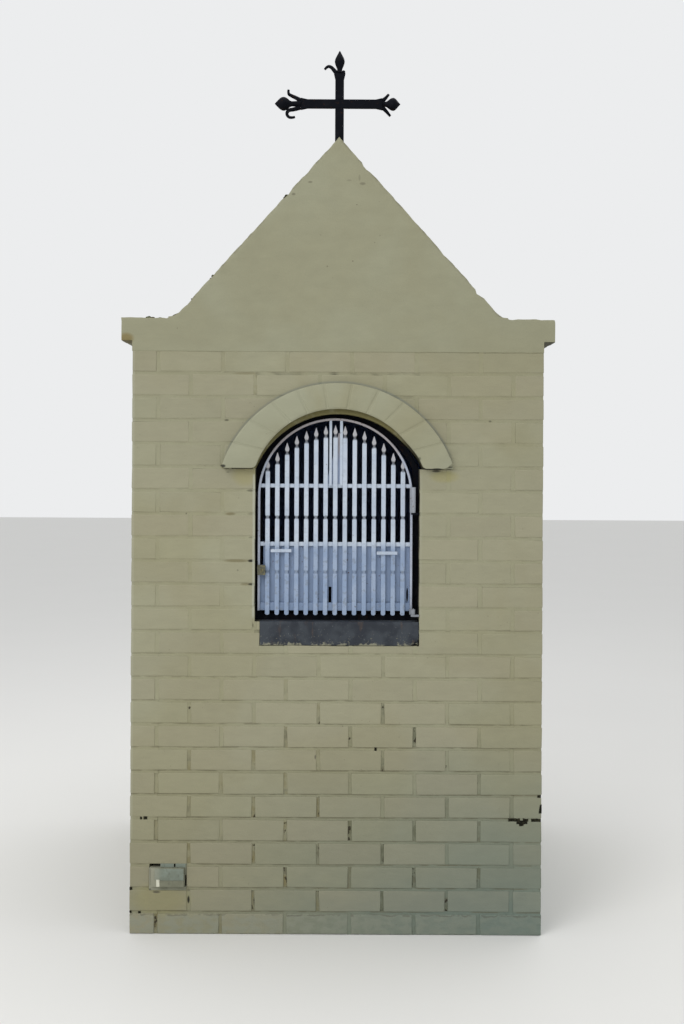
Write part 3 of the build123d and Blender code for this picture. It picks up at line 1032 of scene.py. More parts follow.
# painted shade: the gate's white paint, darker and bluer on the panel behind the pickets
SHADED_PANEL_WHITE = WhiteIron(
    "shaded_panel_white",
    "white_iron",
    white=srgb(131, 149, 177),
    shade=srgb(116, 134, 161),
    rise=0.08,
    wear=0.3,
)
# painted shade: the gate's white paint, darker and bluer on the plate behind the pickets
SHADED_INFILL = WhiteIron(
    "shaded_infill_white", "white_iron", white=srgb(146, 159, 184), shade=srgb(120, 132, 156), rise=0.5
)
FRAME_WHITE = WhiteIron(
    "frame_white",
    "white_iron",
    white=srgb(176, 183, 198),
    shade=srgb(146, 152, 166),
    rise=0.1,
    wear=1.0,
)
HINGE_WHITE = WhiteIron(
    "hinge_white",
    "white_iron",
    white=srgb(152, 157, 164),
    shade=srgb(126, 130, 136),
    rise=0.2,
    wear=1.6,
)
BLACK = BlackIron("black_iron", "black_iron")
SURROUND = BlackIron(
    "surround_iron", "black_iron", black=srgb(10, 12, 19), worn=srgb(26, 26, 28)
)
CATCH = CoverPlastic(
    "catch_plastic",
    "cover_plastic",
    pale=srgb(206, 204, 184),
    edge=srgb(180, 176, 152),
    left_sheen=srgb(210, 209, 192),
)
BOX_PAINT = CoverPlastic(
    "box_paint",
    "cover_plastic",
    pale=srgb(121, 122, 103),
    edge=srgb(107, 109, 90),
    left_sheen=srgb(146, 145, 127),
)
BRASS = LockBrass("lock_brass", "lock_brass")
PLASTIC = CoverPlastic("cover_plastic", "cover_plastic")
# painted shade: the niche floor is near black for the shade inside
SCREED = Crumbly("dark_screed", "floor_screed")
CORE = Crumbly("core_filling", "core_masonry", dark=srgb(60, 54, 46), pale=srgb(88, 82, 72))
OPEN = Crumbly(
    "open_joint",
    "painted_brick",
    dark=srgb(25, 25, 19),
    pale=srgb(54, 52, 39),
    patches=0.004,
    detail=4.0,
    turn=(0.46, 0.64),
    share=1.0,
    patch_relief=0.0,
    roughness=0.95,
    specular=0.1,
)
MOSS = Crumbly(
    "moss_crumb",
    "roof_render",
    dark=srgb(70, 62, 44),
    pale=srgb(64, 70, 40),
    patches=0.012,
    detail=4.0,
    turn=(0.42, 0.6),
    share=1.0,
    grain=0.002,
    grain_detail=3.0,
    patch_relief=0.0,
    depth=0.003,
    roughness=0.95,
    specular=0.1,
)
FLOOR = StageFloor("stage_floor", "")


@cache
def material_of(finish: Finish) -> Material:
    """Make a finish's material, once."""
    return finish.material()


def dress(piece: Object, finish: Finish) -> None:
    """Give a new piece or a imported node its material."""
    piece.data.materials.clear()
    piece.data.materials.append(material_of(finish))


class Shape:
    """A mesh under construction, shaped with bmesh operators and then made a piece."""

    def __init__(self) -> None:
        """Start an empty mesh."""
        self.mesh = bmesh.new()

    @classmethod
    def copy_of(cls, *nodes: Object) -> Shape:
        """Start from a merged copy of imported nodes.

        Args:
            nodes: The nodes' objects.

        Returns:
            The shape, with its flat faces whole again.
        """
        shape = cls()
        for node in nodes:
            shape.mesh.from_mesh(node.data)
        verts, edges = shape.mesh.verts, shape.mesh.edges
        bmesh.ops.remove_doubles(shape.mesh, verts=verts, dist=SAME)
        flat = math.radians(1.0)
        bmesh.ops.dissolve_limit(shape.mesh, angle_limit=flat, verts=verts, edges=edges)
        return shape

    def block(self, low: Vector, high: Vector, turn: Matrix | None = None) -> list[BMVert]:
        """Add a block.

        Args:
            low: Its lowest corner.
            high: Its highest corner.
            turn: A small turn about its middle.

        Returns:
            The block's vertices.
        """
        place = Matrix.Translation((low + high) / 2) @ (turn or Matrix())
        place = place @ Matrix.Diagonal((*(high - low), 1.0))
        return bmesh.ops.create_cube(self.mesh, size=1.0, matrix=place)["verts"]

    def plate(self, outline: Sequence[Point], front: float, rear: float) -> list[BMVert]:
        """Add an upright plate.

        Args:
            outline: Its corners in X and Z, in order.
            front: Where its front face lies on Y.
            rear: Where its rear face lies on Y.

        Returns:
            The plate's vertices.
        """
        rim = [self.mesh.verts.new((x, front, z)) for x, z in outline]
        loop = [self.mesh.edges.new(pair) for pair in zip(rim, [*rim[1:], rim[0]])]
        face = bmesh.ops.edgeloop_fill(self.mesh, edges=loop)["faces"]
        grown = bmesh.ops.extrude_face_region(self.mesh, geom=face, use_keep_orig=True)["geom"]
        moved = [item for item in grown if isinstance(item, BMVert)]
        bmesh.ops.translate(self.mesh, verts=moved, vec=(0, rear - front, 0))
        made = rim + moved
        faces = list({face for vert in made for face in vert.link_faces})
        bmesh.ops.recalc_face_normals(self.mesh, faces=faces)
        return made

    def slice(self, axis: int, step: float) -> None:
        """Cut every face by parallel planes.

        Args:
            axis: The axis that the planes stand across.
            step: How far apart they are, at most.
        """
        places = [vert.co[axis] for vert in self.mesh.verts]
        low, high = min(places), max(places)
        count = math.ceil((high - low) / step)
        normal = Vector([float(index == axis) for index in range(3)])
        for step_number in range(1, count):
            self.cut(normal * (low + (high - low) * step_number / count), normal)

    def cut(self, place: Vector, normal: Vector) -> None:
        """Cut every face by the plane through a place, across a direction."""
        geometry = [*self.mesh.verts, *self.mesh.edges, *self.mesh.faces]
        bmesh.ops.bisect_plane(self.mesh, geom=geometry, plane_co=place, plane_no=normal, dist=1e-6)

    def bevel(self, edges: Iterable[BMEdge], width: float, segments: int) -> None:
        """Round edges off.

        Args:
            edges: The edges.
            width: How far from the edge the round starts.
            segments: Into how many faces it is divided.
        """
        bmesh.ops.bevel(
            self.mesh,
            geom=list(edges),
            offset=width,
            offset_type="OFFSET",
            segments=segments,
            profile=0.5,
            affect="EDGES",
            clamp_overlap=True,
            material=-1,
        )

    def sharp_edges(self, angle: float = 30.0) -> list[BMEdge]:
        """Find the edges that turn by more than an angle.

        Args:
            angle: The angle in degrees.

        Returns:
            The edges.
        """
        self.mesh.normal_update()
        limit = math.radians(angle)
        inner = [edge for edge in self.mesh.edges if len(edge.link_faces) == 2]
        return [edge for edge in inner if edge.calc_face_angle(0.0) > limit]

    def push(
        self,
        chosen: Callable[[Vector], bool],
        way: Callable[[Vector], Vector],
        size: float,
        depth: float,
    ) -> None:
        """Sink points by noise.

        Args:
            chosen: Tells whether the point at a place moves.
            way: Which way it moves, as a vector of length 1.
            size: About how large the hollows are.
            depth: How deep the deepest are.
        """
        for vert in self.mesh.verts:
            if chosen(vert.co):
                amount = max(0.0, 0.35 + 0.9 * noise.noise(vert.co / size))
                vert.co += way(vert.co) * min(1.0, amount) * depth

    def front_edges(self, front: float, angle: float = 30.0) -> list[BMEdge]:
        """Find the edges of the front face that turn by more than an angle in degrees."""
        edges = self.sharp_edges(angle)
        return [e for e in edges if all(abs(v.co.y - front) < SAME for v in e.verts)]

    def piece(
        self,
        name: str,
        body: str,
        finish: Finish,
        replaces: Sequence[str] = (),
        sharp: float = 35.0,
    ) -> Object:
        """Make the mesh a piece of the shrine.

        Args:
            name: The piece's name.
            body: The body that it rides on.
            finish: Its finish.
            replaces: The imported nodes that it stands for.
            sharp: The angle in degrees over which an edge stays sharp.

        Returns:
            The piece's object.
        """
        data = bpy.data.meshes.new(name)
        self.mesh.normal_update()
        self.mesh.to_mesh(data)
        self.mesh.free()
        data.shade_smooth()
        data.set_sharp_from_angle(angle=math.radians(sharp))
        made = stand(name, data)
        dress(made, finish)
        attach(made, body)
        if replaces:
            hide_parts(*replaces)
        LOG.info("%s: %d faces", name, len(data.polygons))
        return made


class Side(Enum):
    """The four walls, by where they stand."""

    FRONT = "front"
    BACK = "back"
    LEFT = "left"
    RIGHT = "right"


@dataclass(frozen=True)
class Walls:
    """Places of the masonry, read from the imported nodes."""

    half_width: float
    half_depth: float
    leaf: float
    opening_half: float
    sill_left: float
    sill_bottom: float
    sill_top: float
    springing: float
    top: float

    @classmethod
    def from_frame(cls) -> Walls:
        """Read the places from the frame.

        Returns:
            The places.
        """
        pier_low, pier_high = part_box("front_pier_right")
        sill_low, sill_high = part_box("window_sill")
        return cls(
            half_width=pier_high.x,
            half_depth=-pier_low.y,
            leaf=pier_high.y - pier_low.y,
            opening_half=pier_low.x,
            sill_left=sill_low.x,
            sill_bottom=sill_low.z,
            sill_top=sill_high.z,
            springing=pier_high.z,
            top=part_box("eaves_slab")[0].z,
        )

    def corners(
        self, side: Side, along: Span, up: Span, sink: float = 0.0
    ) -> tuple[Vector, Vector]:
        """Place a block that is as thick as a wall.

        Args:
            side: The wall.
            along: The block's ends along the wall.
            up: Its bottom and top.
            sink: How far its faces lie inside the wall's.

        Returns:
            Its lowest and highest corners.
        """
        across = side in (Side.FRONT, Side.BACK)
        outer = (self.half_depth if across else self.half_width) - sink
        inner = outer - self.leaf + 2 * sink
        low, high = (-outer, -inner) if side in (Side.FRONT, Side.LEFT) else (inner, outer)
        if across:
            return Vector((along[0], low, up[0])), Vector((along[1], high, up[1]))
        return Vector((low, along[0], up[0])), Vector((high, along[1], up[1]))


@dataclass(frozen=True)
class Gap:
    """A stretch of bed joint on the front that has lost its paint."""

    course: int
    start: float
    end: float


@dataclass
class Brickwork:
    """One wall's stretcher bond, of whole painted bricks in painted mortar."""

    walls: Walls
    side: Side
    chance: random.Random
    brick: float = 0.19
    height: float = 0.065
    joint: float = 0.01
    rise: float = 0.0734
    courses: int = 25
    arris: float = 0.0028
    uneven: float = 0.0013
    lean_degrees: float = 0.1
    slip: float = 0.012
    skin: float = 0.0005
    sunk: float = 0.0009
    shallow: float = 0.0009
    deep: float = 0.003
    shallow_from: float = 1.15
    deep_below: float = 0.4
    lap: float = 0.0015
    short: float = 0.002
    upright_share: float = 0.75
    open_sink: float = 0.0025
    open_sink_from: float = 0.4
    grid_along: float = 0.022
    grid_up: float = 0.018
    hollow: float = 0.0012
    hollow_size: float = 0.018
    open_hollow: float = 0.0045
    open_size: float = 0.028
    open_from: float = 0.15
    plain: float = 0.12
    face_zone: float = 0.02
    arch_middle: float = 1.3453
    arch_radius: float = 0.352
    smallest: float = 0.006
    recess: tuple[float, float, float, float] = (-0.583, -0.467, 0.1374, 0.2192)
    worn_perps: tuple[tuple[float, ...], ...] = (
        (0.75, 0.5, 0.25, 0.25, 0.5, 0.4),
        (0.15, 0.85, 0.6, 0.7, 0.75, 0.3),
        (0.0, 0.15, 0.8, 0.65, 1.0, 0.8),
        (0.6, 0.7, 0.6, 0.75, 0.3, 0.25),
        (0.45, 0.4, 0.6, 0.75, 0.7, 0.6),
        (0.5, 0.7, 0.8, 0.3, 0.5, 0.4),
        (0.3, 0.5, 0.55, 0.4, 0.2, 0.5),
        (0.6, 0.6, 0.45, 0.7, 0.3, 0.15),
        (0.15, 0.2, 0.6, 0.5, 0.7, 0.35),
        (0.35, 0.3, 0.6, 0.6, 0.2, 0.1),
        (0.15, 0.2, 0.4, 0.3, 0.15, 0.1),
        (0.15, 0.15, 0.3, 0.38, 0.15, 0.15),
    )
    gaps: tuple[Gap, ...] = (
        Gap(4, -0.613, -0.606),
        Gap(4, -0.602, -0.59),
        Gap(4, 0.541, 0.577),
        Gap(4, 0.586, 0.603),
        Gap(4, 0.612, 0.6425),
        Gap(5, 0.631, 0.6425),
        Gap(7, 0.12, 0.127),
        Gap(24, 0.436, 0.466),
    )
    scars: tuple[Patch, ...] = (
        Patch(0.566, 0.6, 0.35, 0.361),
        Patch(0.574, 0.588, 0.344, 0.352),
        Patch(0.6355, 0.6447, 0.384, 0.411),
        Patch(-0.6445, -0.636, 0.138, 0.146),
        Patch(-0.6445, -0.638, 0.0665, 0.073),
        Patch(-0.617, -0.609, 0.065, 0.0705),
    )
    scar_depth: float = 0.01
    gap_sink: float = 0.0008
    ragged_size: float = 0.004
    ragged_depth: float = 0.003
    worn_high: dict[tuple[int, int], float] = field(
        default_factory=lambda: {(15, 0): 0.3, (23, 1): 0.45, (24, 1): 0.3}
    )

    def __post_init__(self) -> None:
        """Work out how the wall lies: its axis, half its length and half the walls' distance."""
        self.across = self.side in (Side.FRONT, Side.BACK)
        self.axis = 0 if self.across else 1
        reaches = (self.walls.half_width, self.walls.half_depth)
        self.limit, self.away = reaches if self.across else reversed(reaches)

    def build(self) -> None:
        """Lay the bricks and the mortar."""
        self._lay_bricks()
        self._lay_mortar()

    def level(self, course: int) -> Span:
        """Give the bottom and top of a course."""
        top = self.height - 0.001 + self.rise * course
        return max(0.0, top - self.height), top

    def run(self, course: int) -> list[Span]:
        """Find where the bricks of a course lie; the front's bond stands a little to the left.

        Args:
            course: The course's number from the ground.

        Returns:
            The ends of each brick along the wall.
        """
        even = course % 2 == 0
        through = not even if self.across else even == (self.side is Side.LEFT)
        count = 6 if self.across or through else 5
        slip = self.slip if self.side is Side.FRONT else 0.0
        pitch = self.brick + self.joint + slip / count
        start = -self.limit - slip + (0.0 if through else self.walls.leaf + self.joint)
        firsts = [start + number * pitch for number in range(count)]
        return [(max(-self.limit, first), first + pitch - self.joint) for first in firsts]

    def holes(self, up: Span) -> list[tuple[Span, Span]]:
        """List what the openings take at a height.

        Args:
            up: Bottom and top of the blocks that are laid.

        Returns:
            Each hole's reach along the wall and up it.
        """
        if self.side is not Side.FRONT:
            return []
        walls = self.walls
        found = [
            ((walls.sill_left, walls.opening_half), (walls.sill_bottom, walls.sill_top)),
            ((-walls.opening_half, walls.opening_half), (walls.sill_top, walls.springing)),
            (self.recess[:2], self.recess[2:]),
        ]
        middle = max(sum(up) / 2, walls.springing)
        chord = self.arch_radius**2 - (middle - self.arch_middle) ** 2
        if up[1] > walls.springing and chord > 0:
            half = math.sqrt(chord)
            found.append(((-half, half), (walls.springing, up[1] + self.joint)))
        return found

    def trim(self, along: Span, up: Span) -> list[tuple[Span, Span]]:
        """Cut a block round the openings.

        Args:
            along: The block's ends along the wall.
            up: Its bottom and top.

        Returns:
            The reach of each block that is left, without slivers.
        """
        left = [(along, up)]
        for (start, end), (bottom, top) in self.holes(up):
            kept = []
            for (a, b), (c, d) in left:
                if b <= start or a >= end or d <= bottom or c >= top:
                    kept.append(((a, b), (c, d)))
                    continue
                kept += [((a, start), (c, d)), ((end, b), (c, d))]
                kept += [((a, b), (c, bottom)), ((a, b), (top, d))]
            left = [(across, high) for across, high in kept if self.is_block(across, high)]
        return left

    def is_block(self, along: Span, up: Span) -> bool:
        """Tell whether a reach is more than a sliver."""
        return min(along[1] - along[0], up[1] - up[0]) > self.smallest

    @staticmethod
    def hides(outer: tuple[Span, Span], inner: tuple[Span, Span]) -> bool:
        """Tell whether a larger block takes in the whole of another."""
        pairs = zip(outer, inner)
        return outer != inner and all(a[0] <= b[0] and b[1] <= a[1] for a, b in pairs)

    def corners(self, along: Span, up: Span, sink: float) -> tuple[Vector, Vector]:
        """Place a block, which in the left wall keeps clear of the cover box's recess.

        Args:
            along: The block's ends along the wall.
            up: Its bottom and top.
            sink: How far its faces lie inside the wall's.

        Returns:
            Its lowest and highest corners.
        """
        low, high = self.walls.corners(self.side, along, up, sink)
        start, _, bottom, top = self.recess
        reaches = low.y < -self.walls.half_depth + self.walls.leaf
        if self.side is Side.LEFT and reaches and low.z < top and high.z > bottom:
            high.x = min(high.x, start)
        return low, high

    def _lay_bricks(self) -> None:
        """Lay the bricks."""
        shape = Shape()
        tone = shape.mesh.faces.layers.float.new("tone")
        hue = shape.mesh.faces.layers.float.new("hue")
        for course in range(self.courses):
            for ends in self.run(course):
                for along, up in self.trim(ends, self.level(course)):
                    sink = self.skin + self.chance.uniform(0.0, self.sunk)
                    corners = self.corners(along, up, sink)
                    lean = math.radians(self.chance.gauss(0.0, self.lean_degrees))
                    verts = shape.block(*corners, Matrix.Rotation(lean, 4, "Y"))
                    self._narrow_end(verts)
                    self._jog(verts)
                    value, tint = self.chance.uniform(-1.0, 1.0), self.chance.random()
                    for face in {face for vert in verts for face in vert.link_faces}:
                        face[tone] = value
                        face[hue] = tint
        shape.bevel(shape.mesh.edges, self.arris, 2)
        nodes = [f"{self.side.value}_wall"]
        if self.side is Side.FRONT:
            parts = ("base_wall", "pier_left", "pier_right", "arch_wall")
            nodes = [f"front_{part}" for part in parts]
        shape.piece(f"{self.side.value}_bricks", SHRINE, BRICKS, nodes, 20.0)

    def _narrow_end(self, verts: Sequence[BMVert]) -> None:
        """Narrow a left brick's end in the front by as much as the front's bond slips.

        Args:
            verts: The brick's corners.
        """
        inner = -self.walls.half_width + self.walls.leaf - 0.01
        front = -self.walls.half_depth + 0.01
        for vert in verts:
            if self.side is Side.LEFT and vert.co.x > inner and vert.co.y < front:
                vert.co.x -= self.slip

    def _jog(self, verts: Sequence[BMVert]) -> None:
        """Make a brick's corners a little uneven within its face.

        Args:
            verts: The brick's corners.
        """
        for vert in verts:
            moved = vert.co[self.axis] + self.chance.uniform(-self.uneven, self.uneven)
            vert.co[self.axis] = min(self.limit, max(-self.limit, moved))
            vert.co.z = max(0.0, vert.co.z + self.chance.uniform(-self.uneven, self.uneven))

    def _sink(self, height: float) -> float:
        """Choose how far behind the bricks a joint lies, deeper low down.

        Args:
            height: The joint's height.

        Returns:
            How far the joint lies behind the wall's face.
        """
        share = (self.shallow_from - height) / (self.shallow_from - self.deep_below)
        depth = self.shallow + (self.deep - self.shallow) * min(1.0, max(0.0, share))
        return self.skin + depth * self.chance.uniform(0.8, 1.15)

    def _openness(self, course: int, number: int) -> float:
        """Choose how open an upright joint is; the front's are as they show.

        Args:
            course: The course's number from the ground.
            number: The joint's number in its course.

        Returns:
            0 for a full joint, to 1 for an open one.
        """
        if self.side is not Side.FRONT:
            return max(0.0, self.chance.uniform(-0.1, 0.8) * (1.0 - course / 14))
        if course < len(self.worn_perps):
            return self.worn_perps[course][number] if number < 6 else 0.2
        return self.worn_high.get((course, number), 0.0)

    def _lay_mortar(self) -> None:
        """Lay the bed joints and the upright joints."""
        shape = Shape()
        limit, lap = self.limit, self.lap
        for course in range(self.courses):
            bottom, top = self.level(course)
            bed = (top - lap, top + self.rise - self.height + lap)
            last = course == self.courses - 1
            sink = self._sink(top)
            ends = (-limit + self.short, limit - self.short)
            if last:
                self._lay_joint(shape, (ends, bed), 0.4 * self.skin, 0.0)
            else:
                self._lay_joint(shape, (ends, bed), sink, self.plain)
            bricks = self.run(course)
            starts = [first - self.joint for first, _ in bricks] + [bricks[-1][1]]
            inner = [start for start in starts if -limit < start < limit - self.joint]
            for number, start in enumerate(inner):
                value = self._openness(course, number)
                sink = self.upright_share * self._sink(top)
                sink += self.open_sink * max(0.0, value - self.open_sink_from)
                reach = ((start - lap, start + self.joint + lap), (bottom - lap, top + lap))
                self._lay_joint(shape, reach, sink, value)
        self._weather(shape)
        shape.piece(f"{self.side.value}_mortar", SHRINE, JOINTS)

    def _lay_joint(
        self, shape: Shape, reach: tuple[Span, Span], sink: float, value: float
    ) -> None:
        """Lay one joint round the openings.

        Args:
            shape: The wall's mortar.
            reach: The joint's ends along the wall, and its bottom and top.
            sink: How far it lies behind the wall's face.
            value: How open it is.
        """
        opened = self._opened(shape)
        blocks = self.trim(*reach)
        for block in blocks:
            if any(self.hides(other, block) for other in blocks):
                continue
            verts = shape.block(*self.corners(*block, sink))
            for face in {face for vert in verts for face in vert.link_faces}:
                face[opened] = value

    @staticmethod
    def _opened(shape: Shape) -> bmesh.types.BMLayerItem:
        """Give the layer that tells how open each joint is."""
        layers = shape.mesh.faces.layers.float
        return layers.get("opened") or layers.new("opened")

    def _weather(self, shape: Shape) -> None:
        """Hollow the joints out, more so where they are open.

        Args:
            shape: The wall's mortar.
        """
        shape.slice(self.axis, self.grid_along)
        shape.slice(2, self.grid_up)
        sign = 1.0 if self.side in (Side.FRONT, Side.LEFT) else -1.0
        inward = Vector((0, sign, 0)) if self.across else Vector((sign, 0, 0))
        inner = self.away - self.face_zone
        size, depth = self.hollow_size, self.hollow
        shape.push(lambda co: -co.dot(inward) > inner, lambda co: inward, size, depth)
        opened = self._opened(shape)
        for vert in shape.mesh.verts:
            value = max(face[opened] for face in vert.link_faces)
            if value > self.open_from and -vert.co.dot(inward) > inner:
                amount = max(0.0, 0.1 + noise.noise(vert.co / self.open_size))
                vert.co += inward * self.open_hollow * value * amount
            vert.co.z = max(0.0, vert.co.z)

    def open_gaps(self) -> None:
        """Put dark mortar where the front's bed joints have lost their paint."""
        shape = Shape()
        reach = self.rise - self.height + 0.001
        for gap in self.gaps:
            _, top = self.level(gap.course)
            ends, up = (gap.start, gap.end), (top - 0.001, top + reach)
            shape.block(*self.corners(ends, up, self.skin + self.gap_sink))
        face = -self.walls.half_depth + 0.0001
        for scar in self.scars:
            low = Vector((scar.left, face, scar.bottom))
            shape.block(low, Vector((scar.right, face + self.scar_depth, scar.top)))
        size = self.ragged_size
        shape.slice(0, size)
        way = Vector((0, 0.3, -0.95))
        shape.push(lambda co: True, lambda co: way, size, self.ragged_depth)
        shape.piece("open_joints", SHRINE, OPEN)


@dataclass
class Gables:
    """The rendered gable ends with their shoulders, the eaves between them and the roof."""

    walls: Walls
    band: float = 1.8256
    flare_radius: float = 0.045
    lip: float = 0.003
    edge: float = 0.0035
    rag: float = 0.0023
    rag_size: float = 0.012
    grid_across: float = 0.009
    grid_deep: float = 0.03
    grid_eaves: float = 0.02
    grid_roof: float = 0.04
    worn_corner: float = 0.01
    wear: float = 0.003
    wear_size: float = 0.02
    roof_wear: float = 0.004
    roof_wear_size: float = 0.12
    roof_skin: float = 0.03
    margin: float = 0.012
    chip_reach: float = 0.016
    chip_depth: float = 0.007
    chip_size: float = 0.006
    chip_behind: float = 0.03
    left_chips: tuple[float, ...] = (1.978, 2.06, 2.319, 2.388)
    right_chips: tuple[float, ...] = (2.013, 2.135, 2.401)
    crumbs: tuple[tuple[float, float, float], ...] = (
        (-0.164, 2.316, 0.006),
        (-0.17, 2.31, 0.004),
        (-0.391, 2.062, 0.006),
        (-0.398, 2.054, 0.005),
        (-0.41, 2.041, 0.004),
        (-0.456, 1.99, 0.005),
        (-0.505, 1.938, 0.009),
        (-0.492, 1.944, 0.007),
        (-0.596, 1.93, 0.008),
        (-0.585, 1.929, 0.006),
        (-0.56, 1.929, 0.004),
    )
    crumb_set_back: float = 0.012

    def __post_init__(self) -> None:
        """Read the slabs' and the gable's places and work out the pitch."""
        self.slab_low, self.slab_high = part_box("eaves_slab")
        _, gable_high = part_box("front_gable")
        self.foot = gable_high.x
        self.apex = gable_high.z
        drop = self.apex - self.slab_high.z - self.lip - self.flare_radius
        reach = math.hypot(self.foot, drop)
        self.pitch = math.atan2(drop, self.foot) + math.asin(self.flare_radius / reach)

    def build(self, nodes: dict[str, Object]) -> None:
        """Build the two ends, the eaves and the roof.

        Args:
            nodes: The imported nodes.
        """
        front = self.slab_low.y
        self._end("front_gable_render", front, front + self.walls.leaf, GABLE, "front_gable")
        self._end("back_gable_render", -front - self.walls.leaf, -front, RENDER, "back_gable")
        self._eaves()
        self._roof(nodes)
        self._crumbs()

    def outline(self) -> list[Point]:
        """Give the outline of an end, from the foot of the band up one side and down the other.

        Returns:
            The corners in X and Z.
        """
        base = self.slab_high.z + self.lip
        middle = (self.foot, base + self.flare_radius)
        start = -math.pi / 2
        flare = arc_points(middle, self.flare_radius, start, start - self.pitch, 4)
        right = [
            (self.walls.half_width, self.band),
            (self.walls.half_width, self.slab_low.z),
            (self.slab_high.x, self.slab_low.z),
            (self.slab_high.x, self.slab_high.z),
            (self.foot, self.slab_high.z),
            *flare,
        ]
        left = [(-x, z) for x, z in reversed(right)]
        return [*right, (0.0, self.apex), *left]

    def _inward(self, place: Vector) -> Vector:
        """Give the way into the wall from a point on a slope."""
        side = math.copysign(1.0, place.x)
        return Vector((-side * math.sin(self.pitch), 0.0, -math.cos(self.pitch)))

    def _chip(self, shape: Shape, side: int, heights: Sequence[float]) -> None:
        """Break chips out of one slope's front edge.

        Args:
            shape: The gable end.
            side: 1 for the right slope and -1 for the left.
            heights: How high the chips lie.
        """
        for vert in shape.mesh.verts:
            low = vert.co.z < self.slab_high.z + 0.01
            if vert.co.x * side <= 0 or low or vert.co.y > self.slab_low.y + self.chip_behind:
                continue
            nearest = min(abs(vert.co.z - height) for height in heights)
            share = max(0.0, 1.0 - nearest / self.chip_reach)
            amount = share * (0.6 + noise.noise(vert.co / self.chip_size))
            vert.co += self._inward(vert.co) * self.chip_depth * amount

    def _end(self, name: str, front: float, rear: float, finish: Finish, replaced: str) -> None:
        """Build one end: band, shoulders and gable in one plane.

        Args:
            name: The piece's name.
            front: Where its front face lies on Y.
            rear: Where its rear face lies on Y.
            finish: Its finish, which tells the worn front end from the plain rear one.
            replaced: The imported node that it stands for.
        """
        shape = Shape()
        shape.plate(self.outline(), front, rear)
        shape.slice(0, self.grid_across)
        shape.slice(1, self.grid_deep)
        for side in (-1, 1):
            away = Vector((side * math.sin(self.pitch), 0.0, math.cos(self.pitch)))
            shape.cut(Vector((0, 0, self.apex)) - away * self.margin, away)
        for height in (self.slab_low.z + self.margin, self.slab_high.z - self.margin):
            shape.cut(Vector((0, 0, height)), Vector((0, 0, 1)))
        rim = self.slab_high.z + self.lip + 0.002
        shape.push(
            lambda co: co.z > rim and self._under_slope(co) < 0.001,
            self._inward,
            self.rag_size,
            self.rag,
        )
        shape.push(
            lambda co: abs(co.x) > self.foot and co.z > self.slab_high.z - 0.001,
            lambda co: Vector((0, 0, -1)),
            self.wear_size,
            self.wear,
        )
        self._wear_ends(shape)
        if finish is GABLE:
            self._chip(shape, -1, self.left_chips)
            self._chip(shape, 1, self.right_chips)
            self._round_corner(shape)
        edges = shape.front_edges(front if front < 0 else rear)
        edges = [e for e in edges if max(v.co.z for v in e.verts) > self.band + 0.001]
        shape.bevel(edges, self.edge, 2)
        shape.piece(name, SHRINE, finish, [replaced])

    def _wear_ends(self, shape: Shape) -> None:
        """Wear the outer faces of the eaves.

        Args:
            shape: A gable end, or the eaves between the ends.
        """
        outer = self.slab_high.x - 0.001
        inward = lambda co: Vector((-math.copysign(1.0, co.x), 0, 0))
        shape.push(lambda co: abs(co.x) > outer, inward, self.wear_size, self.wear)

    def _under_slope(self, place: Vector) -> float:
        """Measure how far under the slopes' line a point lies."""
        return (self.apex - place.z) * math.cos(self.pitch) - abs(place.x) * math.sin(self.pitch)

    def _round_corner(self, shape: Shape) -> None:
        """Wear the right shoulder's upper corner round.

        Args:
            shape: The front end.
        """
        corner = Vector((self.slab_high.x, 0, self.slab_high.z))
        radius = self.worn_corner
        middle = corner - Vector((radius, 0, radius))
        for vert in shape.mesh.verts:
            away = Vector((vert.co.x - middle.x, 0, vert.co.z - middle.z))
            if away.x > 0 and away.z > 0 and away.length > radius:
                kept = away.normalized() * radius
                vert.co.x = middle.x + kept.x
                vert.co.z = middle.z + kept.z

    def _eaves(self) -> None:
        """Build the eaves slab between the ends, and the band under it on the sides."""
        shape = Shape()
        inner = self.slab_high.y - self.walls.leaf
        low = Vector((self.slab_low.x, -inner, self.slab_low.z))
        high = Vector((self.slab_high.x, inner, self.slab_high.z))
        shape.block(low, high)
        for side in (Side.LEFT, Side.RIGHT):
            shape.block(*self.walls.corners(side, (-inner, inner), (self.band, self.slab_low.z)))
        shape.slice(1, self.grid_eaves)
        self._wear_ends(shape)
        edges = [e for e in shape.sharp_edges() if abs(e.verts[0].co.x) > self.slab_high.x - 0.01]
        long = [e for e in edges if abs(e.verts[0].co.z - e.verts[1].co.z) < 0.01]
        shape.bevel(long, self.edge, 2)
        shape.piece("eaves", SHRINE, RENDER, ["eaves_slab"])

    def _roof(self, nodes: dict[str, Object]) -> None:
        """Wear the roof slopes from copies of their nodes.

        Args:
            nodes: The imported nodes.
        """
        slopes = ["roof_slope_left", "roof_slope_right"]
        shape = Shape.copy_of(*(nodes[name] for name in slopes))
        shape.slice(1, self.grid_roof)
        shape.slice(0, self.grid_roof)
        shape.push(
            lambda co: self._under_slope(co) < self.roof_skin,
            self._inward,
            self.roof_wear_size,
            self.roof_wear,
        )
        shape.piece("roof_covering", SHRINE, ROOF, slopes)

    def _crumbs(self) -> None:
        """Lay crumbs of mortar and moss on the left slope and on the shoulder."""
        shape = Shape()
        chance = random.Random(5)
        squash = Matrix.Diagonal((1.5, 1.2, 0.75, 1.0))
        for x, z, size in self.crumbs:
            middle = Vector((x, self.slab_low.y + self.crumb_set_back + size, z))
            place = Matrix.Translation(middle) @ squash
            made = bmesh.ops.create_icosphere(shape.mesh, subdivisions=2, radius=size, matrix=place)
            for vert in made["verts"]:
                ragged = noise.noise(vert.co / (size * 0.8) + Vector((chance.random(), 0, 0)))
                vert.co += (vert.co - middle) * 0.6 * ragged
        shape.piece("slope_crumbs", SHRINE, MOSS)


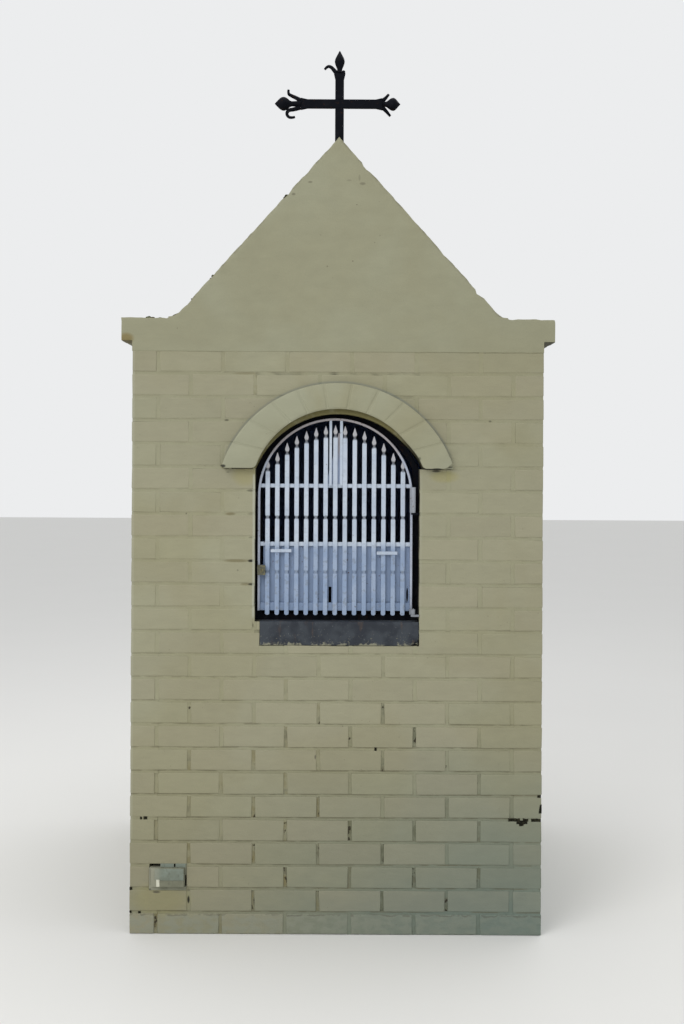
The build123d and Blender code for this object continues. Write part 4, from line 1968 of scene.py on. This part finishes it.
@dataclass
class Hood:
    """The raised arch over the niche, of painted voussoirs on a rendered ring."""

    walls: Walls
    outer_half: float = 0.363
    outer_rise: float = 0.266
    inner_rise: float = 0.186
    soffit_rise: float = 0.171
    count: int = 11
    joint: float = 0.0022
    groove: float = 0.0016
    edge: float = 0.005
    end_round: float = 0.012
    broken_end: float = 0.028
    spread: float = 0.01
    spread_rise: float = 0.085
    arc_steps: int = 5
    ring_steps: int = 40
    ring_reach: Span = (0.02, 0.98)
    ring_lap: float = 0.002

    def build(self) -> None:
        """Build the ring and the voussoirs on it."""
        low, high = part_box("hood_arch")
        face = -self.walls.half_depth
        shape = Shape()
        inset = (low.y + self.groove, face + self.ring_lap)
        self._wedge(shape, 0.0, 1.0, (face, high.y), self.soffit_rise, self.ring_steps)
        self._wedge(shape, *self.ring_reach, inset, self.inner_rise, self.ring_steps)
        length = math.pi * self.outer_half
        share = self.joint / length
        for number in range(self.count):
            start = number / self.count + (share if number else 0.0)
            end = (number + 1) / self.count - (share if number < self.count - 1 else 0.0)
            block = Shape()
            last = number == self.count - 1
            broken = self.broken_end if last else 0.0
            self._wedge(block, start, end, (low.y, face), self.inner_rise, self.arc_steps, broken)
            self._ease_block(block, last or not number)
            copy = bpy.data.meshes.new("voussoir")
            block.mesh.to_mesh(copy)
            block.mesh.free()
            shape.mesh.from_mesh(copy)
            bpy.data.meshes.remove(copy)
        self._spread(shape)
        shape.piece("hood_voussoirs", SHRINE, HOOD, ["hood_arch"])

    def _spread(self, shape: Shape) -> None:
        """Set the right end's inner edge back from the jamb.

        Args:
            shape: The whole arch.
        """
        base = self.walls.springing
        arcs = [(self.walls.opening_half, self.inner_rise), (self.outer_half, self.outer_rise)]
        for vert in shape.mesh.verts:
            low = 1.0 - (vert.co.z - base) / self.spread_rise
            if vert.co.x <= 0 or low <= 0:
                continue
            edges = []
            for half, rise in arcs:
                middle, radius = circle_over(half, rise, base)
                edges.append(math.sqrt(radius**2 - (vert.co.z - middle) ** 2))
            share = min(1.0, max(0.0, (edges[1] - vert.co.x) / (edges[1] - edges[0])))
            vert.co.x += self.spread * share * min(1.0, 1.6 * low)

    def _wedge(
        self,
        shape: Shape,
        start: float,
        end: float,
        depth: Span,
        rise: float,
        steps: int,
        broken: float = 0.0,
    ) -> None:
        """Add a stretch of the arch.

        Args:
            shape: The shape that it joins.
            start: Where it starts, as a share of the arch's way from left to right.
            end: Where it ends, as a share of the same way.
            depth: Where its front and rear faces lie on Y.
            rise: How far the inner edge's crown stands over the springing line.
            steps: Number of straight pieces along it.
            broken: How much of the lower edge is lost with a broken outer corner.
        """
        base = self.walls.springing
        edges = []
        for half, crown in ((self.outer_half, self.outer_rise), (self.walls.opening_half, rise)):
            middle, radius = circle_over(half, crown, base)
            spring = math.asin((base - middle) / radius)
            sweep = math.pi - 2 * spring
            first = math.pi - spring - sweep * start
            last = math.pi - spring - sweep * end
            edges.append(arc_points((0.0, middle), radius, first, last, steps))
        if broken:
            edges[0][-1] = (edges[0][-1][0] - broken, base)
        shape.plate([*edges[0], *reversed(edges[1])], *depth)

    def _ease_block(self, block: Shape, last: bool) -> None:
        """Round a voussoir's front edges, and more so the corners at the arch's ends.

        Args:
            block: The voussoir.
            last: Whether it ends the arch.
        """
        block.mesh.normal_update()
        front = min(vert.co.y for vert in block.mesh.verts)
        base = self.walls.springing
        if last:
            corners = [
                edge
                for edge in block.sharp_edges()
                if all(abs(v.co.z - base) < 1e-4 for v in edge.verts)
                and abs(edge.verts[0].co.x - edge.verts[1].co.x) < 1e-4
            ]
            block.bevel(corners, self.end_round, 4)
        block.bevel(block.front_edges(front, 25.0), self.edge, 3)


@dataclass
class Sill:
    """The stone sill, worn at its front edges and chipped at the lower right."""

    walls: Walls
    edge: float = 0.004
    wear: float = 0.0022
    wear_size: float = 0.03
    chip: float = 0.016
    chip_size: float = 0.005
    grid_across: float = 0.008
    grid_up: float = 0.0125

    def build(self) -> None:
        """Build the sill from its node's box."""
        low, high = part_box("window_sill")
        shape = Shape()
        shape.block(low, high)
        shape.slice(0, self.grid_across)
        shape.slice(2, self.grid_up)
        front = low.y
        shape.bevel(shape.front_edges(front), self.edge, 2)
        back = Vector((0, 1, 0))
        rounded = front + self.edge
        shape.push(lambda co: co.y < rounded, lambda co: back, self.wear_size, self.wear)
        corner = Vector((high.x, front, low.z))
        for vert in shape.mesh.verts:
            away = vert.co - corner
            near = Vector((away.x * 0.6, away.y * 0.5, away.z)).length
            if near < self.chip:
                amount = (self.chip - near) * (0.7 + noise.noise(vert.co / self.chip_size))
                vert.co += Vector((-0.35, 0.8, 0.5)) * amount
        shape.piece("sill_block", SHRINE, STONE, ["window_sill"])


@dataclass(frozen=True)
class Finial:
    """A turned bud and its forged tendrils, along X from the end of a bar.

    Attributes:
        bud: Places along the bud and its radius there.
        tendrils: Points of each tendril in X and Z.
    """

    bud: tuple[Point, ...]
    tendrils: tuple[tuple[Point, ...], ...]


LEFT_FINIAL = Finial(
    bud=(
        (0.0, 0.011), (0.01, 0.009), (0.028, 0.008), (0.034, 0.01), (0.039, 0.014),
        (0.044, 0.018), (0.05, 0.0207), (0.055, 0.0215), (0.06, 0.0206), (0.065, 0.018),
        (0.07, 0.014), (0.075, 0.009), (0.08, 0.004), (0.0828, 0.001),
    ),
    tendrils=(
        ((0.001, 0.0115), (0.012, 0.018), (0.03, 0.026), (0.041, 0.032), (0.039, 0.045)),
        (
            (0.001, -0.0115),
            (0.02, -0.018),
            (0.04, -0.02),
            (0.046, -0.034),
            (0.034, -0.047),
            (0.018, -0.042),
        ),
    ),
)
RIGHT_FINIAL = Finial(
    bud=(
        (0.0, 0.011), (0.006, 0.008), (0.011, 0.0082), (0.015, 0.01), (0.02, 0.014),
        (0.025, 0.0174), (0.03, 0.0196), (0.035, 0.0203), (0.04, 0.0186), (0.045, 0.0142),
        (0.05, 0.0082), (0.0545, 0.0034), (0.0568, 0.001),
    ),
    tendrils=(
        ((0.001, 0.0115), (0.01, 0.019), (0.02, 0.032)),
        ((0.001, -0.0115), (0.012, -0.021), (0.025, -0.038)),
    ),
)
TOP_FINIAL = Finial(
    bud=(
        (0.0, 0.011), (0.007, 0.008), (0.012, 0.0082), (0.017, 0.0103), (0.022, 0.0126),
        (0.03, 0.0152), (0.036, 0.0161), (0.042, 0.0152), (0.048, 0.0131), (0.054, 0.0099),
        (0.06, 0.0066), (0.066, 0.0036), (0.0708, 0.001),
    ),
    tendrils=(
        ((0.001, 0.0115), (0.008, 0.018), (0.019, 0.027), (0.022, 0.04), (0.011, 0.048)),
        ((0.001, -0.0115), (0.004, -0.013), (0.007, -0.0145)),
    ),
)


@dataclass
class IronCross:
    """The iron cross: its bars stay, and smooth buds and tendrils replace the plain ones."""

    turns: int = 20
    root: float = 0.0072
    thin: float = 0.0038

    def build(self) -> None:
        """Build the finials at the ends of the bars."""
        arm_low, arm_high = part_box("cross_arm")
        _, post_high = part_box("cross_upright")
        across = (arm_low.y + arm_high.y) / 2
        level = (arm_low.z + arm_high.z) / 2
        flip = Matrix.Diagonal((-1.0, 1.0, 1.0, 1.0))
        rise = Matrix.Rotation(-math.pi / 2, 4, "Y")
        places = {
            "left": (LEFT_FINIAL, Matrix.Translation((arm_low.x, across, level)) @ flip),
            "right": (RIGHT_FINIAL, Matrix.Translation((arm_high.x, across, level))),
            "top": (TOP_FINIAL, Matrix.Translation((0.0, across, post_high.z)) @ rise),
        }
        for name, (finial, place) in places.items():
            shape = Shape()
            self._bud(shape, finial.bud)
            for points in finial.tendrils:
                self._tendril(shape, points)
            bmesh.ops.transform(shape.mesh, matrix=place, verts=shape.mesh.verts)
            bmesh.ops.recalc_face_normals(shape.mesh, faces=shape.mesh.faces)
            replaced = [f"cross_finial_{name}"]
            shape.piece(f"finial_{name}", SHRINE, BLACK, replaced, 60.0)

    def _bud(self, shape: Shape, stations: Sequence[Point]) -> None:
        """Turn a bud about its axis, closed at both ends.

        Args:
            shape: The finial.
            stations: Places along the bud and its radius there.
        """
        profile = [(0.0, 0.0), *stations, (stations[-1][0] + 0.0002, 0.0)]
        verts = [shape.mesh.verts.new((along, 0.0, radius)) for along, radius in profile]
        edges = [shape.mesh.edges.new(pair) for pair in zip(verts, verts[1:])]
        bmesh.ops.spin(
            shape.mesh,
            geom=[*verts, *edges],
            cent=(0, 0, 0),
            axis=(1, 0, 0),
            angle=2 * math.pi,
            steps=self.turns,
            use_merge=True,
        )
        bmesh.ops.remove_doubles(shape.mesh, verts=shape.mesh.verts, dist=1e-6)

    def _tendril(self, shape: Shape, points: Sequence[Point]) -> None:
        """Draw a tendril as a smooth rod that thins out.

        Args:
            shape: The finial.
            points: The tendril's points in X and Z.
        """
        curve = bpy.data.curves.new("tendril", "CURVE")
        curve.dimensions = "3D"
        curve.bevel_depth = 1.0
        curve.bevel_resolution = 3
        curve.resolution_u = 8
        curve.use_fill_caps = True
        line = curve.splines.new("NURBS")
        line.points.add(len(points) - 1)
        for number, (point, (x, z)) in enumerate(zip(line.points, points)):
            share = number / (len(points) - 1)
            point.co = (x, 0.0, z, 1.0)
            point.radius = self.root + (self.thin - self.root) * share
        line.order_u = 3
        line.use_endpoint_u = True
        rod = stand("tendril", curve)
        drawn = bpy.data.meshes.new_from_object(rod)
        shape.mesh.from_mesh(drawn)
        bpy.data.objects.remove(rod)
        bpy.data.curves.remove(curve)
        bpy.data.meshes.remove(drawn)


@dataclass
class Ironwork:
    """The surround, hinges and gate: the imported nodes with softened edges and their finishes."""

    finishes: tuple[tuple[str, Finish, float], ...] = (
        ("surround_frame", SURROUND, 0.001),
        ("hinge_pintle_upper", SURROUND, 0.0008),
        ("hinge_pintle_lower", HINGE_WHITE, 0.0008),
        ("gate_frame", FRAME_WHITE, 0.0012),
        ("gate_rail_upper", WHITE, 0.001),
        ("gate_rail_middle", WHITE, 0.001),
        ("gate_rail_bottom", SHADED_PANEL_WHITE, 0.001),
        ("gate_pickets", PICKET, 0.0013),
        ("gate_middle_bars", MIDDLE_WHITE, 0.001),
        ("gate_infill_plate", SHADED_INFILL, 0.0004),
        ("gate_panel", SHADED_PANEL_WHITE, 0.0004),
        ("gate_tabs", WHITE, 0.0006),
        ("hinge_knuckle_upper", HINGE_WHITE, 0.0008),
        ("hinge_knuckle_lower", HINGE_WHITE, 0.0008),
        ("lock_case", BRASS, 0.001),
        ("lock_cylinder", BRASS, 0.0006),
        ("cross_upright", BLACK, 0.0018),
        ("cross_arm", BLACK, 0.0018),
    )

    def build(self, nodes: dict[str, Object]) -> None:
        """Dress the nodes.

        Args:
            nodes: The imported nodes.
        """
        for name, finish, width in self.finishes:
            soften(nodes[name], width)
            dress(nodes[name], finish)
        self._keyhole()

    def _keyhole(self) -> None:
        """Show the key slot by a dark blade in the face of the lock's cylinder."""
        low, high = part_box("lock_cylinder")
        middle = (low + high) / 2
        spot = Vector((middle.x, low.y, middle.z))
        shape = Shape()
        low_reach, high_reach = Vector((0.0008, 0.0003, 0.0042)), Vector((0.0008, 0.0004, 0.0042))
        shape.block(spot - low_reach, spot + high_reach)
        shape.bevel(shape.mesh.edges, 0.0002, 1)
        shape.piece("key_slot", GATE, SURROUND)


@dataclass
class CoverBox:
    """The small cover box low in the front wall, with a flap over its upper part."""

    finishes: tuple[tuple[str, Finish, float], ...] = (
        ("box_body", BOX_PAINT, 0.001),
        ("box_catch", CATCH, 0.0008),
    )
    lid_round: float = 0.003
    flap_left: float = 0.0125
    flap_bottom: float = 0.0225
    flap_inset: float = 0.001
    flap_proud: float = 0.0022
    fill_depth: float = 0.012
    fill_sink: float = 0.0007
    fill_size: float = 0.006
    fill_wear: float = 0.0008
    rim: tuple[Patch, ...] = (
        Patch(-0.548, -0.506, 0.2082, 0.22),
        Patch(-0.501, -0.4665, 0.2082, 0.22),
    )
    fill: tuple[Patch, ...] = (
        Patch(-0.5834, -0.5774, 0.1366, 0.206),
        Patch(-0.5834, -0.4665, 0.1366, 0.1478),
        Patch(-0.47, -0.4665, 0.185, 0.22),
    )

    def build(self, nodes: dict[str, Object]) -> None:
        """Dress the nodes and hang the flap.

        Args:
            nodes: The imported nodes.
        """
        for name, finish, width in self.finishes:
            soften(nodes[name], width)
            dress(nodes[name], finish)
        low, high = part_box("box_cover")
        lid = Shape()
        lid.block(low, high)
        lid.bevel(lid.mesh.edges, self.lid_round, 3)
        lid.piece("box_lid", SHRINE, BOX_PAINT, ["box_cover"])
        shape = Shape()
        lowest = Vector((low.x + self.flap_left, low.y - self.flap_proud, low.z + self.flap_bottom))
        highest = Vector((high.x - self.flap_inset, low.y + 0.0004, high.z - self.flap_inset))
        shape.block(lowest, highest)
        shape.bevel(shape.mesh.edges, 0.0008, 2)
        shape.piece("box_flap", SHRINE, PLASTIC)
        self._strips("box_rim", PLASTIC, self.rim)
        self._strips("box_fill", BOX_PAINT, self.fill)

    def _strips(self, name: str, finish: Finish, strips: Sequence[Patch]) -> None:
        """Fill parts of the gap round the box with strips just behind the wall's face.

        Args:
            name: The piece's name.
            finish: Its finish.
            strips: Where the strips lie.
        """
        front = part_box("front_base_wall")[0].y + self.fill_sink
        shape = Shape()
        for strip in strips:
            low = Vector((strip.left, front, strip.bottom))
            shape.block(low, Vector((strip.right, front + self.fill_depth, strip.top)))
        size = self.fill_size
        shape.slice(0, size)
        shape.slice(2, size)
        back = Vector((0, 1, 0))
        shape.push(lambda co: co.y < front + 0.001, lambda co: back, size, self.fill_wear)
        shape.piece(name, SHRINE, finish)


@dataclass
class Studio:
    """Camera, floor and plain soft light."""

    eye: Vector = Vector((0.014, -4.195, 1.455))
    lens: float = 40.43
    roll_degrees: float = -0.3
    shift_up: float = -0.041
    aim: Vector = Vector((0, 0, 1.3))
    sky: float = 0.8
    daylight: Colour = (0.97, 0.985, 1.0, 1.0)
    pale: Colour = srgb(236, 237, 238)
    floor_half: float = 30.0

    def build(self) -> None:
        """Set the camera, the floor, the lamps and the world."""
        self._camera()
        self._floor()
        self._lamp("key_light", Vector((-2.6, -4.2, 4.6)), 3.4, 120.0)
        self._lamp("top_light", Vector((0.6, 0.4, 5.6)), 3.2, 70.0)
        self._world()

    def _camera(self) -> None:
        """Stand the camera at the photograph's viewing angle."""
        data = bpy.data.cameras.new("camera")
        data.lens = self.lens
        data.sensor_width = 36.0
        data.shift_y = self.shift_up
        camera = stand("camera", data)
        camera.location = self.eye
        camera.rotation_euler = (math.pi / 2, math.radians(self.roll_degrees), 0.0)
        bpy.context.scene.camera = camera

    def _floor(self) -> None:
        """Lay the floor just under the shrine."""
        shape = bmesh.new()
        bmesh.ops.create_grid(shape, x_segments=2, y_segments=2, size=self.floor_half)
        bmesh.ops.translate(shape, verts=shape.verts, vec=(0, 0, -0.0005))
        data = bpy.data.meshes.new("stage_floor")
        shape.to_mesh(data)
        shape.free()
        floor = stand("stage_floor", data)
        dress(floor, FLOOR)

    def _lamp(self, name: str, place: Vector, size: float, power: float) -> None:
        """Hang a large soft lamp that shines at the niche.

        Args:
            name: The lamp's name.
            place: Where it hangs.
            size: Its diameter.
            power: Its power in watts.
        """
        data = bpy.data.lights.new(name, "AREA")
        data.shape = "DISK"
        data.size = size
        data.energy = power
        lamp = stand(name, data)
        lamp.location = place
        lamp.rotation_euler = (self.aim - place).to_track_quat("-Z", "Y").to_euler()

    def _world(self) -> None:
        """Light all round evenly, and show a pale background."""
        world = bpy.data.worlds.new("studio")
        bpy.context.scene.world = world
        tree = NodeTree(world)
        kinds = ("Is Camera Ray", "Is Glossy Ray")
        rays = [tree.node("ShaderNodeLightPath", output=kind) for kind in kinds]
        seen = tree.node("ShaderNodeMath", {"operation": "MAXIMUM"}, dict(enumerate(rays)))
        light = tree.node(
            "ShaderNodeBackground", inputs={"Color": self.daylight, "Strength": self.sky}
        )
        backdrop = tree.node("ShaderNodeBackground", inputs={"Color": self.pale})
        mixed = tree.node("ShaderNodeMixShader", inputs={0: seen, 1: light, 2: backdrop})
        tree.node("ShaderNodeOutputWorld", inputs={"Surface": mixed})


def soften(node: Object, width: float) -> None:
    """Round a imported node's sharp edges by modifiers, which leave its mesh as it is.

    Args:
        node: The node's object.
        width: How far from the edge the round starts.
    """
    weld = node.modifiers.new("weld", "WELD")
    weld.merge_threshold = SAME
    bevel = node.modifiers.new("bevel", "BEVEL")
    bevel.width = width
    bevel.segments = 2
    bevel.limit_method = "ANGLE"
    bevel.angle_limit = math.radians(35)


def main() -> None:
    """Build and dress the shrine."""
    logging.basicConfig(level=logging.INFO, format="%(name)s: %(message)s")
    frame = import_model()
    nodes = frame["nodes"]
    walls = Walls.from_frame()
    bpy.context.scene.view_settings.view_transform = "Standard"
    Studio().build()
    faces = [Brickwork(walls, side, random.Random(seed)) for seed, side in enumerate(Side, 11)]
    for face in faces:
        face.build()
    faces[0].open_gaps()
    Gables(walls).build(nodes)
    Hood(walls).build()
    Sill(walls).build()
    IronCross().build()
    Ironwork().build(nodes)
    CoverBox().build(nodes)
    dress(nodes["base_core"], CORE)
    dress(nodes["niche_floor"], SCREED)


if __name__ == "__main__":
    main()
